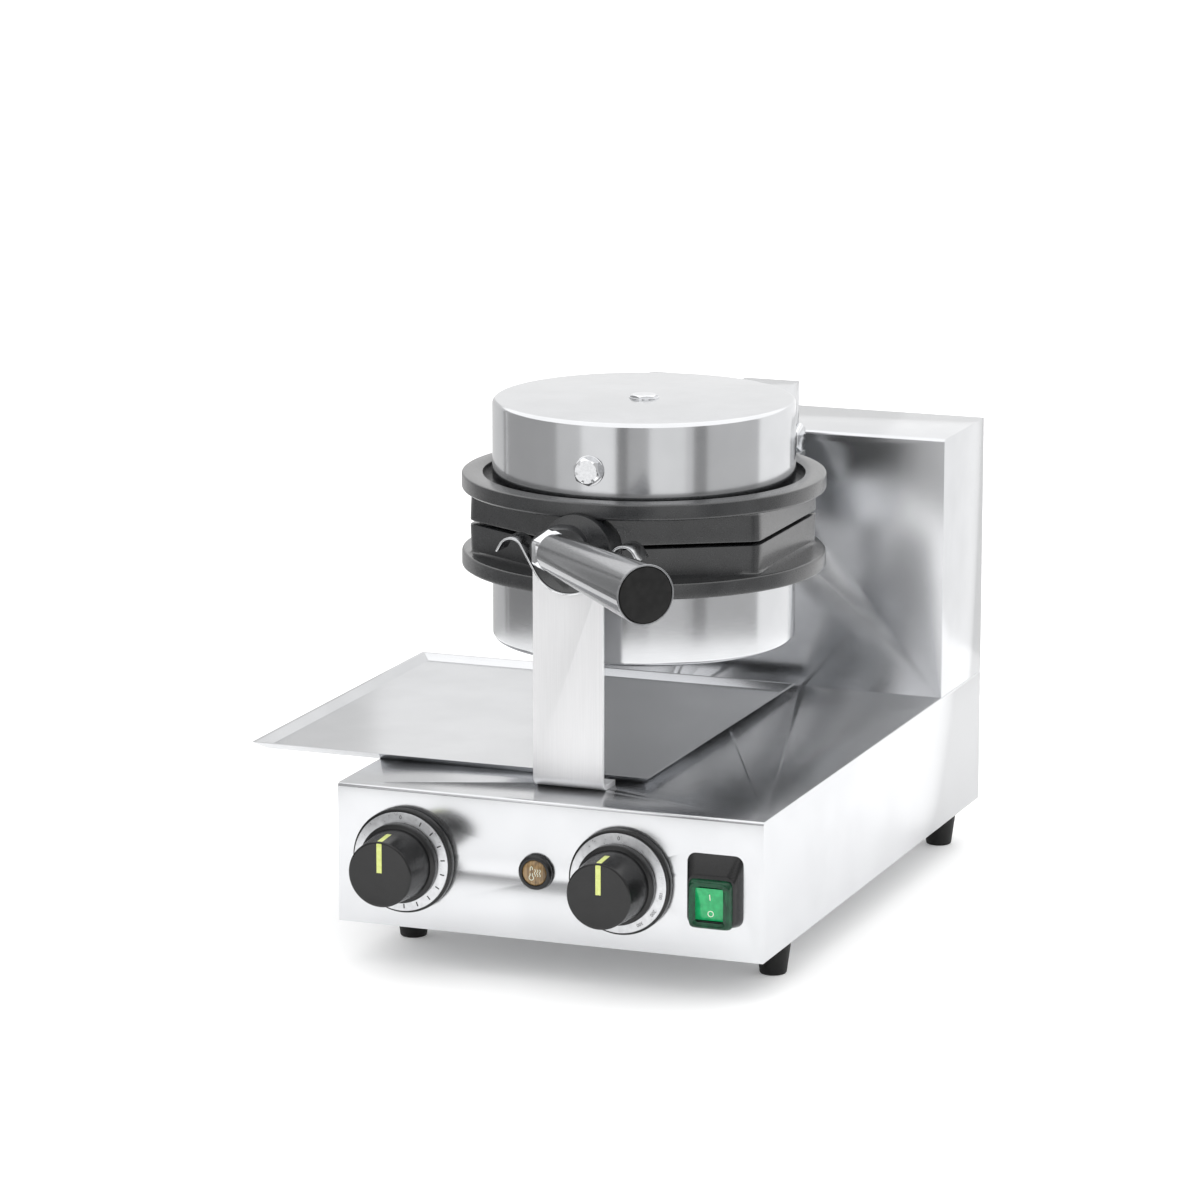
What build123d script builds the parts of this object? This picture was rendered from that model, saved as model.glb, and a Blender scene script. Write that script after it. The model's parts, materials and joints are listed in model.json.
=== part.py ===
"""Bubble waffle maker: a countertop cooker with a hinged pair of hexagonal bubble plates.

Millimetres, +X to the right, +Y to the back, +Z up. Every piece is placed in machine places: X = 0 on the
centre line, Y = 0 on the front panel, Z = 0 under the feet. The last step moves the whole machine so that
its origin lies in the middle of its footprint.
"""

import os
from math import cos, radians, sin, sqrt, tan

from build123d import *

# Base housing
BASE_W = 250.0
BASE_D = 394.0
BASE_H = 79.0
SHEET = 1.2
PANEL_LIP = 12.0
FOLD_R = 2.0
BOTTOM_SCREWS_Y = (20.0, 197.0, 334.0)
VENT_W = 4.0
VENT_L = 36.0
VENT_PITCH = 18.0
VENT_COLUMNS = 7
VENT_ROWS_Y = (150.0, 210.0)
WIRE_SLOT = (60.0, 18.0)
WIRE_SLOT_BACK = 8.0

# Feet
FOOT_H = 24.0
FOOT_TOP_R = 10.7
FOOT_R = 7.5
FOOT_INSET_X = 17.0
FOOT_FRONT = 66.0
FOOT_REAR = 25.0

# Tower over the rear bearing
TOWER_D = 78.0
TOWER_ABOVE_AXIS = 23.5
BACK_INSET = 0.5
BACK_SCREW_INSET = 20.0
LOUVRE_W = 4.0
LOUVRE_L = 30.0
LOUVRE_PITCH = 16.0
LOUVRES = 9
LOUVRE_DOWN = 45.0

# Head: two halves that meet on the turning axis
AXIS_ABOVE_BASE = 131.5
HEAD_Y = 149.0
HALF_H = 68.2
PLATE_GAP = 1.8
HEX_R = 100.0
SKIRT_H = 18.0
DRAFT = 2.0
FLANGE_R = 103.0
FLANGE_H = 9.0
LIP_R = 91.0
CASTING_BACK = 20.0
EDGE = 1.5
OVERLAP = 0.5
MACHINED = 80.0
TAPPED = 6.0

# Baking cavity
CAVITY_R = 84.0
CAVITY_DEPTH = 1.6
CUP_PITCH = 23.6
CUP_R = 10.5
CUP_DEPTH = 9.5
CUP_SIDES = 8
CUP_WAIST_DEPTH = 0.6
CUP_WALL_TAPER = 19.0
CUP_CROWN_TAPER = 46.0
CUP_RINGS = 3

# Drum covers
DRUM_R = 85.7
DRUM_WALL = 1.2
DRUM_EDGE = 2.0
COVER_BOLT_AF = 14.0
COVER_BOLT_H = 5.5
COVER_BOLT_SHANK_R = 4.0
COVER_WASHER_RIM = 1.5
COVER_WASHER_T = 0.8
SIDE_BOLT_UP = 41.5
HEATER_IN_R = 38.0
HEATER_OUT_R = 74.0
HEATER_H = 4.0
CLAMP_T = 3.0
CLAMP_R = 66.0
TERMINAL_W = 7.0
TERMINAL_H = 16.0
TERMINAL_T = 1.6
TERMINAL_X = 14.0
TERMINAL_IN = 4.0
CLAMP_RIM = 8.0
ANGLE_W = 24.0
ANGLE_LEG = 20.0
ANGLE_T = 2.0
ANGLE_GAP = 3.5
ANGLE_FOOT = 4.0
ANGLE_TOP = 8.0
WELD_NUT_R = 6.5
WELD_NUT_H = 5.0

# Front journal in its spring saddle
JOURNAL_R = 20.5
JOURNAL_LOWER_FRONT = 28.8
JOURNAL_UPPER_FRONT = 42.0
JOURNAL_ROOT = 63.0
JOURNAL_RELIEF = 0.8
LUG_R = 11.3
LUG_LEFT = 7.8
LUG_RIGHT = 4.0
LUG_FRONT = 22.0
LUG_ROOT = 46.0
RUN_FIT = 0.08
SADDLE_T = 1.2
SADDLE_Y = 28.3
SADDLE_D = 16.2
SADDLE_WRAP = 60.0
SADDLE_RISE = 17.0
SADDLE_CURL_R = 7.0
SADDLE_TAIL = 5.0
SEAT_PLAY = 0.05

# Front post
POST_W = 41.0
POST_T = 3.0
POST_Y = 30.0
POST_FOOT = 20.0
POST_BEND_R = 5.0
POST_SCREW_PITCH = 24.0
POST_SCREW_SHARE = 0.6
POST_TOP_DOWN = 4.0

# Handle
HANDLE_ANGLE = 45.0
HANDLE_UP = 3.6
HANDLE_CROSS_Y = 15.5
HANDLE_ROOT = -4.0
HANDLE_LEN = 119.5
HANDLE_ROOT_R = 11.0
HANDLE_TIP_R = 16.5
HANDLE_WALL = 1.2
NUT_H = 7.0
NUT_AF = 22.0
STUD_R = 6.0
STUD_IN_LUG = 8.0
STUD_IN_TUBE = 30.0
NUT_ROUND = 1.1
CAP_DEPTH = 10.0
CAP_PROUD = 0.6

# Lid hinge behind the head
PIVOT_Y = 274.0
PIVOT_UP = 27.1
PIVOT_R = 4.0
EAR_IN = 41.0
EAR_T = 3.0
EAR_R = 10.0
SIDE_PLAY = 0.4
CHANNEL_T = 1.5
CHANNEL_REAR = 284.0
CHANNEL_TOP_UP = 58.6
CHANNEL_FRONT = 236.0
CHANNEL_TAB = 14.0
CHANNEL_TAB_FRONT = 229.0
CHANNEL_SCREW_Y = 237.5
SLOT_W = 5.0
SLOT_H = 8.5
SLOT_UP = 12.5
PIVOT_HEAD_AF = 15.0
PIVOT_HEAD_H = 5.0
PIVOT_NUT_AF = 13.0
PIVOT_NUT_H = 6.0
PIVOT_NUT_PLAY = 0.5
PIVOT_END = 3.0
LID_OPEN = 105.0
STOP_PLAY = 0.3
HEEL = (5.0, 9.5)
EAR_ROUND = 0.7
EAR_SLOPE = (1.0, 4.0)
EAR_NECK = 8.0
YOKE_DOWN = 20.0
YOKE_UP = 14.0
CHANNEL_CORNER = 3.0
CHANNEL_CLEAR = (1.0, 2.0)
AXLE_NOTCH = (1.5, 9.0)
SLOT_BACK = 3.0
TIGHT_FIT = 0.05

# Axle and rear bearing
AXLE_R = 11.0
AXLE_BORE_R = 7.0
AXLE_BOSS_R = 17.0
AXLE_BOSS_Y = 254.0
AXLE_BOSS_ROOT = 235.0
AXLE_END = 376.0
BUSH_R = 15.0
BUSH_FLANGE_R = 17.4
BUSH_FLANGE_T = 3.0
BRACKET_T = 4.0
BRACKET_GAP = 6.0
BRACKET_W = 90.0
BRACKET_D = 42.0
BRACKET_ABOVE_BUSH = 5.0
BRACKET_RIB_DOWN = 20.0
BRACKET_SCREW_INSET = 12.0
BRACKET_SCREW_PITCH = 16.0
COLLAR_R = 16.0
COLLAR_W = 10.0
LUG_OUT = 21.0
LUG_T = 6.0
STOP_POST_R = 4.0
STOP_POST_X = 20.5
TOWER_HOLE_PLAY = 0.5

# Front panel fittings, measured up from the base's lower edge
PANEL_UP = 39.0
TIMER_X = -84.7
LAMP_X = -6.9
THERMOSTAT_X = 43.5
SWITCH_X = 97.5
RING_R = 29.5
RING_H = 5.0
DIAL_R = 28.0
DIAL_H = 1.5
KNOB_TIP_R = 18.4
KNOB_SKIRT_R = 22.5
KNOB_SKIRT_H = 5.0
KNOB_FRONT = 36.5
KNOB_GAP = 0.5
KNOB_EDGE = 1.5
KNOB_FLARE = 1.6
KNOB_WALL = 6.0
POINTER_W = 3.0
POINTER_T = 1.2
POINTER_PROUD = 0.3
POINTER_BACK = 14.0
POINTER_START = 1.0
SHAFT_R = 3.0
SHAFT_HOLE_R = 5.0
TIMER_BODY = (44.0, 36.0, 44.0)
THERMOSTAT_BODY = (38.0, 30.0, 34.0)
LAMP_R = 9.8
LAMP_LENS_R = 7.2
LAMP_BODY_R = 6.2
LAMP_DEPTH = 28.0
LAMP_H = 3.0
LAMP_EDGE = 1.2
LENS_SEAT = 1.5
LENS_H = 3.8
LENS_EDGE = 1.0
SWITCH_W = 32.4
SWITCH_H = 40.0
SWITCH_FRAME_H = 7.5
SWITCH_RIM_W = 27.0
SWITCH_RIM_H = 29.0
SWITCH_CORNER = 5.0
SWITCH_BODY_WALL = 1.7
ROCKER_W = 20.0
ROCKER_H = 22.0
ROCKER_DROP = 4.6
ROCKER_PROUD = 1.0
ROCKER_TILT = 7.0
ROCKER_PLAY = 0.4
ROCKER_SWING = 1.6
ROCKER_PIVOT = 4.0
ROCKER_AXLE_R = 2.0
ROCKER_WEB = 4.0
ROCKER_BACK = 3.0
SWITCH_BODY_D = 24.0

# Tray drawn out to the left
TRAY_W = 241.0
TRAY_D = 250.0
TRAY_T = 1.0
TRAY_RIM = 6.5
TRAY_RIM_UP = 4.5
TRAY_FRONT = 52.5
TRAY_RIGHT = 39.5

# Cable gland at the back
GLAND_X = 80.0
GLAND_UP = 30.0
GLAND_R = 9.0
GLAND_BORE_R = 4.5
GLAND_OUT = 16.0
GLAND_IN = 10.0
GLAND_NUT_AF = 24.0
GLAND_NUT_H = 5.0
GLAND_CAP_H = 6.0
GLAND_COLLAR = 1.0
GLAND_THREAD = 2.0

# Terminal block inside the back of the base
BLOCK_SIZE = (48.0, 20.0, 14.0)
BLOCK_LEFT_OF_GLAND = 30.0
BLOCK_FROM_BACK = 70.0
BLOCK_WAYS = 4
BLOCK_FIRST_WAY = 8.0
BLOCK_WAY_PITCH = 10.7
BLOCK_POCKET = (6.0, 8.0, 8.0)

# Screws
SCREW_R = 2.0
SCREW_HEAD_R = 4.0
SCREW_HEAD_H = 2.0
SCREW_CLEAR = 0.2
SCREW_GRIP = 3.0
FIT = 0.3

# Places that follow from the sizes above
BASE_TOP = FOOT_H + BASE_H
AXIS_Z = BASE_TOP + AXIS_ABOVE_BASE
TOWER_TOP = AXIS_Z + TOWER_ABOVE_AXIS
TOWER_Y = BASE_D - TOWER_D
PANEL_Z = FOOT_H + PANEL_UP
FLOOR_Z = FOOT_H + SHEET
PIVOT_Z = AXIS_Z + PIVOT_UP
ROCKER_Z = PANEL_Z - ROCKER_DROP
EAR_OUT = EAR_IN + EAR_T
CHANNEL_IN = EAR_OUT + SIDE_PLAY
CHANNEL_OUT = CHANNEL_IN + CHANNEL_T
LIP_UP = SKIRT_H - 0.5 + FLANGE_H
SADDLE_IN_R = JOURNAL_R + RUN_FIT
SADDLE_OUT_R = SADDLE_IN_R + SADDLE_T
HANDLE_TIP_Y = HANDLE_CROSS_Y - (HANDLE_ROOT + HANDLE_LEN) * sin(radians(HANDLE_ANGLE))
FOOTPRINT_FRONT = HANDLE_TIP_Y - HANDLE_TIP_R * cos(radians(HANDLE_ANGLE))
FOOTPRINT_REAR = BASE_D + GLAND_OUT
FOOTPRINT_LEFT = TRAY_RIGHT - TRAY_W
FOOTPRINT_RIGHT = BASE_W / 2


def block(x0, x1, y0, y1, z0, z1):
    """A box from its low and high corners."""
    return Pos((x0 + x1) / 2, (y0 + y1) / 2, (z0 + z1) / 2) * Box(x1 - x0, y1 - y0, z1 - z0)


def rod_y(x, z, radius, y0, y1):
    """A round bar along Y."""
    return Pos(x, (y0 + y1) / 2, z) * Rot(90, 0, 0) * Cylinder(radius, y1 - y0)


def rod_x(y, z, radius, x0, x1):
    """A round bar along X."""
    return Pos((x0 + x1) / 2, y, z) * Rot(0, 90, 0) * Cylinder(radius, x1 - x0)


def rod_z(x, y, radius, z0, z1):
    """A round bar along Z."""
    return Pos(x, y, (z0 + z1) / 2) * Cylinder(radius, z1 - z0)


def hexagon(across_flats, height):
    """A hexagonal prism standing on Z = 0."""
    return extrude(RegularPolygon(across_flats / 2, 6, major_radius=False), height)


def screw(length):
    """A pan-head screw along -Z, its head standing on Z = 0."""
    head = Pos(0, 0, SCREW_HEAD_H / 2) * Cylinder(SCREW_HEAD_R, SCREW_HEAD_H)
    return head + rod_z(0, 0, SCREW_R, -length, 0)


def outline(points, plane, depth):
    """A closed polygon on a plane, extruded both ways to a full depth."""
    face = make_face(Polyline(*points, close=True))
    return extrude(plane * face, depth / 2, both=True)


def side_profile(points, x0, x1):
    """A Y-Z outline made solid from x0 to x1."""
    face = make_face(Polyline(*[(0, y, z) for y, z in points], close=True))
    return Pos((x0 + x1) / 2, 0, 0) * extrude(face, (x1 - x0) / 2, dir=(1, 0, 0), both=True)


def foot_places():
    """Where the four feet stand."""
    xs = (-BASE_W / 2 + FOOT_INSET_X, BASE_W / 2 - FOOT_INSET_X)
    return [(x, y) for y in (FOOT_FRONT, BASE_D - FOOT_REAR) for x in xs]


def bottom_screw_places():
    """Screws that hold the bottom plate to the lips of the housing."""
    x = BASE_W / 2 - SHEET - PANEL_LIP / 2
    return [(side * x, y) for y in BOTTOM_SCREWS_Y for side in (-1, 1)]


def tower_screw_places():
    """Screws along the two side edges of the tower's back panel."""
    x = BASE_W / 2 - SHEET - PANEL_LIP / 2
    zs = (BASE_TOP + BACK_SCREW_INSET, TOWER_TOP - BACK_SCREW_INSET)
    return [(side * x, z) for z in zs for side in (-1, 1)]


def base_housing():
    """Folded sheet box, open below, with its panel holes."""
    outer = block(-BASE_W / 2, BASE_W / 2, 0, BASE_D, FOOT_H, BASE_TOP)
    outer = fillet(outer.edges().filter_by(Axis.X).group_by(Axis.Z)[-1], FOLD_R)
    inner = block(
        -BASE_W / 2 + SHEET, BASE_W / 2 - SHEET, SHEET, BASE_D - SHEET, FOOT_H, BASE_TOP - SHEET
    )
    shell = outer - inner
    lip_x = BASE_W / 2 - SHEET
    for side in (-1, 1):
        x0, x1 = sorted((side * lip_x, side * (lip_x - PANEL_LIP)))
        shell += block(x0, x1, SHEET, BASE_D - SHEET, FLOOR_Z, FLOOR_Z + SHEET)
    for x in (TIMER_X, THERMOSTAT_X):
        shell -= rod_y(x, PANEL_Z, SHAFT_HOLE_R, -1, SHEET + 1)
    shell -= rod_y(LAMP_X, PANEL_Z, LAMP_BODY_R + FIT, -1, SHEET + 1)
    half_w = ROCKER_W / 2 + SWITCH_BODY_WALL + FIT
    half_h = ROCKER_H / 2 + SWITCH_BODY_WALL + FIT
    shell -= block(
        SWITCH_X - half_w, SWITCH_X + half_w, -1, SHEET + 1, ROCKER_Z - half_h, ROCKER_Z + half_h
    )
    gland_hole = GLAND_R - GLAND_THREAD + SCREW_CLEAR
    shell -= rod_y(GLAND_X, FOOT_H + GLAND_UP, gland_hole, BASE_D - SHEET - 1, BASE_D + 1)
    slot_w, slot_d = WIRE_SLOT
    y1 = BASE_D - WIRE_SLOT_BACK
    shell -= block(-slot_w / 2, slot_w / 2, y1 - slot_d, y1, BASE_TOP - SHEET - 1, BASE_TOP + 1)
    for x in (-POST_SCREW_PITCH / 2, POST_SCREW_PITCH / 2):
        shell -= rod_z(x, post_screw_y(), SCREW_R + SCREW_CLEAR, BASE_TOP - SHEET - 1, BASE_TOP + 1)
    for x, y in bracket_screw_places():
        shell -= rod_z(x, y, SCREW_R + SCREW_CLEAR, BASE_TOP - SHEET - 1, BASE_TOP + 1)
    for x, y in bottom_screw_places():
        shell -= rod_z(x, y, SCREW_R + SCREW_CLEAR, FLOOR_Z - 1, FLOOR_Z + SHEET + 1)
    return shell


def bottom_plate():
    """Flat sheet under the base, with cooling slots and holes for its screws and feet."""
    side = BASE_W / 2 - SHEET - FIT
    plate = block(-side, side, SHEET + FIT, BASE_D - SHEET - FIT, FOOT_H, FLOOR_Z)
    half_w, half_l = VENT_W / 2, VENT_L / 2
    for y in VENT_ROWS_Y:
        for column in range(VENT_COLUMNS):
            x = (column - (VENT_COLUMNS - 1) / 2) * VENT_PITCH
            plate -= block(x - half_w, x + half_w, y - half_l, y + half_l, FOOT_H - 1, FLOOR_Z + 1)
    for x, y in foot_places() + bottom_screw_places():
        plate -= rod_z(x, y, SCREW_R + SCREW_CLEAR, FOOT_H - 1, FLOOR_Z + 1)
    return plate


def bottom_screws():
    """Pan-head screws that close the base from below."""
    flip = Rot(180, 0, 0)
    return [Pos(x, y, FOOT_H) * flip * screw(2 * SHEET + SCREW_GRIP) for x, y in bottom_screw_places()]


def feet():
    """Tapered rubber feet, hollow at the top for the screw head."""
    made = []
    for x, y in foot_places():
        foot = Pos(x, y, FOOT_H / 2) * Cone(FOOT_R, FOOT_TOP_R, FOOT_H)
        foot -= rod_z(x, y, SCREW_HEAD_R + FIT, 0, FOOT_H / 2)
        foot -= rod_z(x, y, SCREW_R + SCREW_CLEAR / 2, 0, FOOT_H)
        made.append(foot)
    return made


def foot_screws():
    """Screws up through the feet into the bottom plate."""
    flip = Rot(180, 0, 0)
    length = FOOT_H / 2 + SHEET + SCREW_GRIP
    return [Pos(x, y, FOOT_H / 2) * flip * screw(length) for x, y in foot_places()]


def tower_cover():
    """Folded cover over the bearing: front, top and two sides, open to the back panel."""
    outer = block(-BASE_W / 2, BASE_W / 2, TOWER_Y, BASE_D, BASE_TOP, TOWER_TOP)
    outer = fillet(outer.edges().filter_by(Axis.X).group_by(Axis.Z)[-1].group_by(Axis.Y)[0], FOLD_R)
    inner = block(
        -BASE_W / 2 + SHEET, BASE_W / 2 - SHEET,
        TOWER_Y + SHEET, BASE_D + 1, BASE_TOP - 1, TOWER_TOP - SHEET,
    )
    cover = outer - inner
    lip_y = BASE_D - BACK_INSET - SHEET
    for side in (-1, 1):
        x0, x1 = sorted((side * (BASE_W / 2 - SHEET), side * (BASE_W / 2 - SHEET - PANEL_LIP)))
        cover += block(x0, x1, lip_y - SHEET, lip_y, BASE_TOP, TOWER_TOP - SHEET)
    cover -= rod_y(0, AXIS_Z, BUSH_R + TOWER_HOLE_PLAY, TOWER_Y - 1, TOWER_Y + SHEET + 1)
    for x, z in tower_screw_places():
        cover -= rod_y(x, z, SCREW_R + SCREW_CLEAR, lip_y - SHEET - 1, lip_y + 1)
    return cover


def tower_back_panel():
    """Flat panel that closes the tower, with a row of cooling slots."""
    side = BASE_W / 2 - SHEET - FIT
    y1 = BASE_D - BACK_INSET
    panel = block(-side, side, y1 - SHEET, y1, BASE_TOP + FIT, TOWER_TOP - SHEET - FIT)
    half_w, half_l = LOUVRE_W / 2, LOUVRE_L / 2
    z = TOWER_TOP - LOUVRE_DOWN
    for column in range(LOUVRES):
        x = (column - (LOUVRES - 1) / 2) * LOUVRE_PITCH
        panel -= block(x - half_w, x + half_w, y1 - SHEET - 1, y1 + 1, z - half_l, z + half_l)
    for x, z in tower_screw_places():
        panel -= rod_y(x, z, SCREW_R + SCREW_CLEAR, y1 - SHEET - 1, y1 + 1)
    return panel


def back_panel_screws():
    """Pan-head screws that hold the tower's back panel."""
    turn = Rot(-90, 0, 0)
    y = BASE_D - BACK_INSET
    return [Pos(x, y, z) * turn * screw(2 * SHEET + SCREW_GRIP) for x, z in tower_screw_places()]


def bracket_front():
    """Front face of the bearing bracket, just behind the tower's front wall."""
    return TOWER_Y + SHEET + BRACKET_GAP


def bracket_screw_places():
    """Four screws through the foot of the bearing bracket."""
    y = bracket_front() + BRACKET_D - BRACKET_SCREW_INSET
    x = BRACKET_W / 2 - BRACKET_SCREW_INSET
    return [(side * x, y - back) for back in (0.0, BRACKET_SCREW_PITCH) for side in (-1, 1)]


def bearing_bracket():
    """Thick angle bracket that holds the rear bush, with gussets and two stop posts."""
    y0 = bracket_front()
    half = BRACKET_W / 2
    top = AXIS_Z + BUSH_R + BRACKET_ABOVE_BUSH
    rib_top = top - BRACKET_RIB_DOWN
    wall = block(-half, half, y0, y0 + BRACKET_T, BASE_TOP, top)
    foot = block(-half, half, y0, y0 + BRACKET_D, BASE_TOP, BASE_TOP + BRACKET_T)
    bracket = wall + foot
    for side in (-1, 1):
        x0, x1 = sorted((side * half, side * (half - BRACKET_T)))
        rib = [(y0, BASE_TOP), (y0 + BRACKET_D, BASE_TOP), (y0 + BRACKET_T, rib_top), (y0, rib_top)]
        bracket += side_profile(rib, x0, x1)
        post_z = AXIS_Z - LUG_T / 2 - STOP_PLAY - STOP_POST_R
        y_end = y0 + BRACKET_T + BUSH_FLANGE_T + COLLAR_W
        bracket += rod_y(side * STOP_POST_X, post_z, STOP_POST_R, y0 + BRACKET_T / 2, y_end)
    bracket -= rod_y(0, AXIS_Z, BUSH_R, y0 - 1, y0 + BRACKET_T + 1)
    for x, y in bracket_screw_places():
        bracket -= rod_z(x, y, SCREW_R + SCREW_CLEAR, BASE_TOP - 1, BASE_TOP + BRACKET_T + 1)
    return bracket


def bracket_screws():
    """Screws through the bracket's foot into the top of the base."""
    z = BASE_TOP + BRACKET_T
    return [Pos(x, y, z) * screw(BRACKET_T + SHEET + SCREW_GRIP) for x, y in bracket_screw_places()]


def rear_bush():
    """Flanged bronze bush in the bracket, in which the axle turns."""
    y0 = bracket_front()
    bush = rod_y(0, AXIS_Z, BUSH_R, TOWER_Y + SHEET + 1.0, y0 + BRACKET_T)
    bush += rod_y(0, AXIS_Z, BUSH_FLANGE_R, y0 + BRACKET_T, y0 + BRACKET_T + BUSH_FLANGE_T - FIT)
    return bush - rod_y(0, AXIS_Z, AXLE_R + RUN_FIT, TOWER_Y, y0 + BRACKET_T + BUSH_FLANGE_T)


def head_axle():
    """Hollow axle that carries the head and leads its wires into the tower."""
    axle = rod_y(0, AXIS_Z, AXLE_R, AXLE_BOSS_ROOT, AXLE_END)
    return axle - rod_y(0, AXIS_Z, AXLE_BORE_R, AXLE_BOSS_ROOT - 1, AXLE_END + 1)


def stop_collar():
    """Collar clamped on the axle, with the lug that ends the half turn on the stop posts."""
    y0 = bracket_front() + BRACKET_T + BUSH_FLANGE_T
    y1 = y0 + COLLAR_W
    collar = rod_y(0, AXIS_Z, COLLAR_R, y0, y1)
    collar += block(0, LUG_OUT, y0, y1, AXIS_Z - LUG_T / 2, AXIS_Z + LUG_T / 2)
    return collar - rod_y(0, AXIS_Z, AXLE_R, y0 - 1, y1 + 1)


def post_screw_y():
    """How far back the post's screws sit on its foot."""
    return POST_Y + POST_T + (POST_FOOT - POST_T) * POST_SCREW_SHARE


def saddle_tangent(side, radius):
    """Where the saddle leaves its round seat, and the direction in which it rises."""
    a = radians(SADDLE_WRAP)
    point = (side * radius * sin(a), -radius * cos(a))
    return point, (side * cos(a), sin(a))


def front_post():
    """Flat strip post, bent into a foot, its top hollowed out for the spring saddle."""
    top = AXIS_Z - POST_TOP_DOWN
    r_in = POST_BEND_R
    outer = block(-POST_W / 2, POST_W / 2, POST_Y, POST_Y + POST_FOOT, BASE_TOP, top)
    heel = outer.edges().filter_by(Axis.X).group_by(Axis.Z)[0].group_by(Axis.Y)[0]
    outer = fillet(heel, r_in + POST_T - 1.0)
    hollow = block(
        -POST_W / 2 - 1, POST_W / 2 + 1,
        POST_Y + POST_T, POST_Y + POST_FOOT + 1, BASE_TOP + POST_T, top + 1,
    )
    hollow = fillet(hollow.edges().filter_by(Axis.X).group_by(Axis.Z)[0].group_by(Axis.Y)[0], r_in - 1.0)
    post = outer - hollow
    radius = SADDLE_OUT_R + SEAT_PLAY
    post -= rod_y(0, AXIS_Z, radius, POST_Y - 1, POST_Y + POST_T + 1)
    wedge = []
    for side in (-1, 1):
        (x, z), (dx, dz) = saddle_tangent(side, radius)
        ends = [(x, z), (x + dx * POST_W, z + dz * POST_W)]
        wedge += ends if side < 0 else ends[::-1]
    face = make_face(Polyline(*[(x, 0, AXIS_Z + z) for x, z in wedge], close=True))
    post -= Pos(0, POST_Y + POST_T / 2, 0) * extrude(face, POST_T, dir=(0, 1, 0), both=True)
    for x in (-POST_SCREW_PITCH / 2, POST_SCREW_PITCH / 2):
        post -= rod_z(x, post_screw_y(), SCREW_R + SCREW_CLEAR, BASE_TOP - 1, BASE_TOP + POST_T + 1)
    return post


def post_screws():
    """Two screws that hold the post's foot to the base."""
    z = BASE_TOP + POST_T
    xs = (-POST_SCREW_PITCH / 2, POST_SCREW_PITCH / 2)
    return [Pos(x, post_screw_y(), z) * screw(POST_T + SHEET + SCREW_GRIP) for x in xs]


def saddle_line():
    """Middle line of the spring strip from one curled end to the other, in X and Z about the axis."""
    radius = SADDLE_IN_R + SADDLE_T / 2
    bottom = (0, -radius)
    halves = []
    for side in (-1, 1):
        (x, z), (dx, dz) = saddle_tangent(side, radius)
        rise = (x + dx * SADDLE_RISE, z + dz * SADDLE_RISE)
        curl = (rise[0] + side * dz * SADDLE_CURL_R, rise[1] - abs(dx) * SADDLE_CURL_R)
        crest = (curl[0], curl[1] + SADDLE_CURL_R)
        drop = (curl[0] + side * dz * SADDLE_CURL_R, curl[1] + abs(dx) * SADDLE_CURL_R)
        tail = (drop[0] + dx * SADDLE_TAIL, drop[1] - dz * SADDLE_TAIL)
        halves.append(((x, z), rise, crest, drop, tail))
    left, right = halves
    start, rise, crest, drop, tail = [[(x, 0, AXIS_Z + z) for x, z in pair] for pair in zip(left, right)]
    low = (0, 0, AXIS_Z + bottom[1])
    pieces = [Line(tail[0], drop[0]), ThreePointArc(drop[0], crest[0], rise[0])]
    pieces += [Line(rise[0], start[0]), ThreePointArc(start[0], low, start[1]), Line(start[1], rise[1])]
    pieces += [ThreePointArc(rise[1], crest[1], drop[1]), Line(drop[1], tail[1])]
    return Wire(pieces)


def saddle_spring():
    """Spring strip in the post's hollow, round below the journal and curled over at both ends."""
    line = saddle_line()
    ribbon = trace_strip(line)
    return Pos(0, SADDLE_Y, 0) * extrude(ribbon, SADDLE_D, dir=(0, 1, 0))


def trace_strip(line):
    """The strip's cut face: its middle line with half the thickness on each side."""
    one = line.offset_2d(SADDLE_T / 2, side=Side.LEFT, closed=False)
    other = line.offset_2d(SADDLE_T / 2, side=Side.RIGHT, closed=False)
    ends = [Line(one @ 0, other @ 0), Line(one @ 1, other @ 1)]
    if (one @ 0 - other @ 0).length > (one @ 0 - other @ 1).length:
        ends = [Line(one @ 0, other @ 1), Line(one @ 1, other @ 0)]
    return make_face([*one.edges(), *other.edges(), *ends])


def in_half(piece, upper):
    """Moves a piece from a half's own places, split face at Z = 0 and drum upwards, to the machine."""
    turn = Rot(0, 0, 0) if upper else Rot(0, 180, 0)
    return Pos(0, HEAD_Y, AXIS_Z) * turn * piece


def hex_face(radius):
    """A hexagon with corners to the front and back."""
    return Rot(0, 0, 90) * RegularPolygon(radius, 6)


def cup_centres():
    """Centres of the bubble cups, in columns that follow the hexagon."""
    step = CUP_PITCH * sqrt(3) / 2
    for column in range(-CUP_RINGS, CUP_RINGS + 1):
        count = 2 * CUP_RINGS + 1 - abs(column)
        for row in range(count):
            yield column * step, (row - (count - 1) / 2) * CUP_PITCH


def cup():
    """One bubble cup as a bowl of flat facets, mouth at Z = 0."""
    waist_z = CUP_DEPTH * CUP_WAIST_DEPTH
    wall = extrude(RegularPolygon(CUP_R, CUP_SIDES), waist_z, taper=CUP_WALL_TAPER)
    crown = extrude(wall.faces().sort_by(Axis.Z)[-1], CUP_DEPTH - waist_z, taper=CUP_CROWN_TAPER)
    return wall + crown


def casting_outline():
    """Outside of one cast half: drafted hexagonal skirt and round flange."""
    face = PLATE_GAP / 2
    skirt = Pos(0, 0, face) * extrude(hex_face(HEX_R), SKIRT_H - face, taper=-DRAFT)
    flange = rod_z(0, 0, FLANGE_R, SKIRT_H - OVERLAP, LIP_UP)
    return skirt + chamfer(flange.edges().filter_by(GeomType.CIRCLE).group_by(Axis.Z)[0], EDGE)


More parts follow.
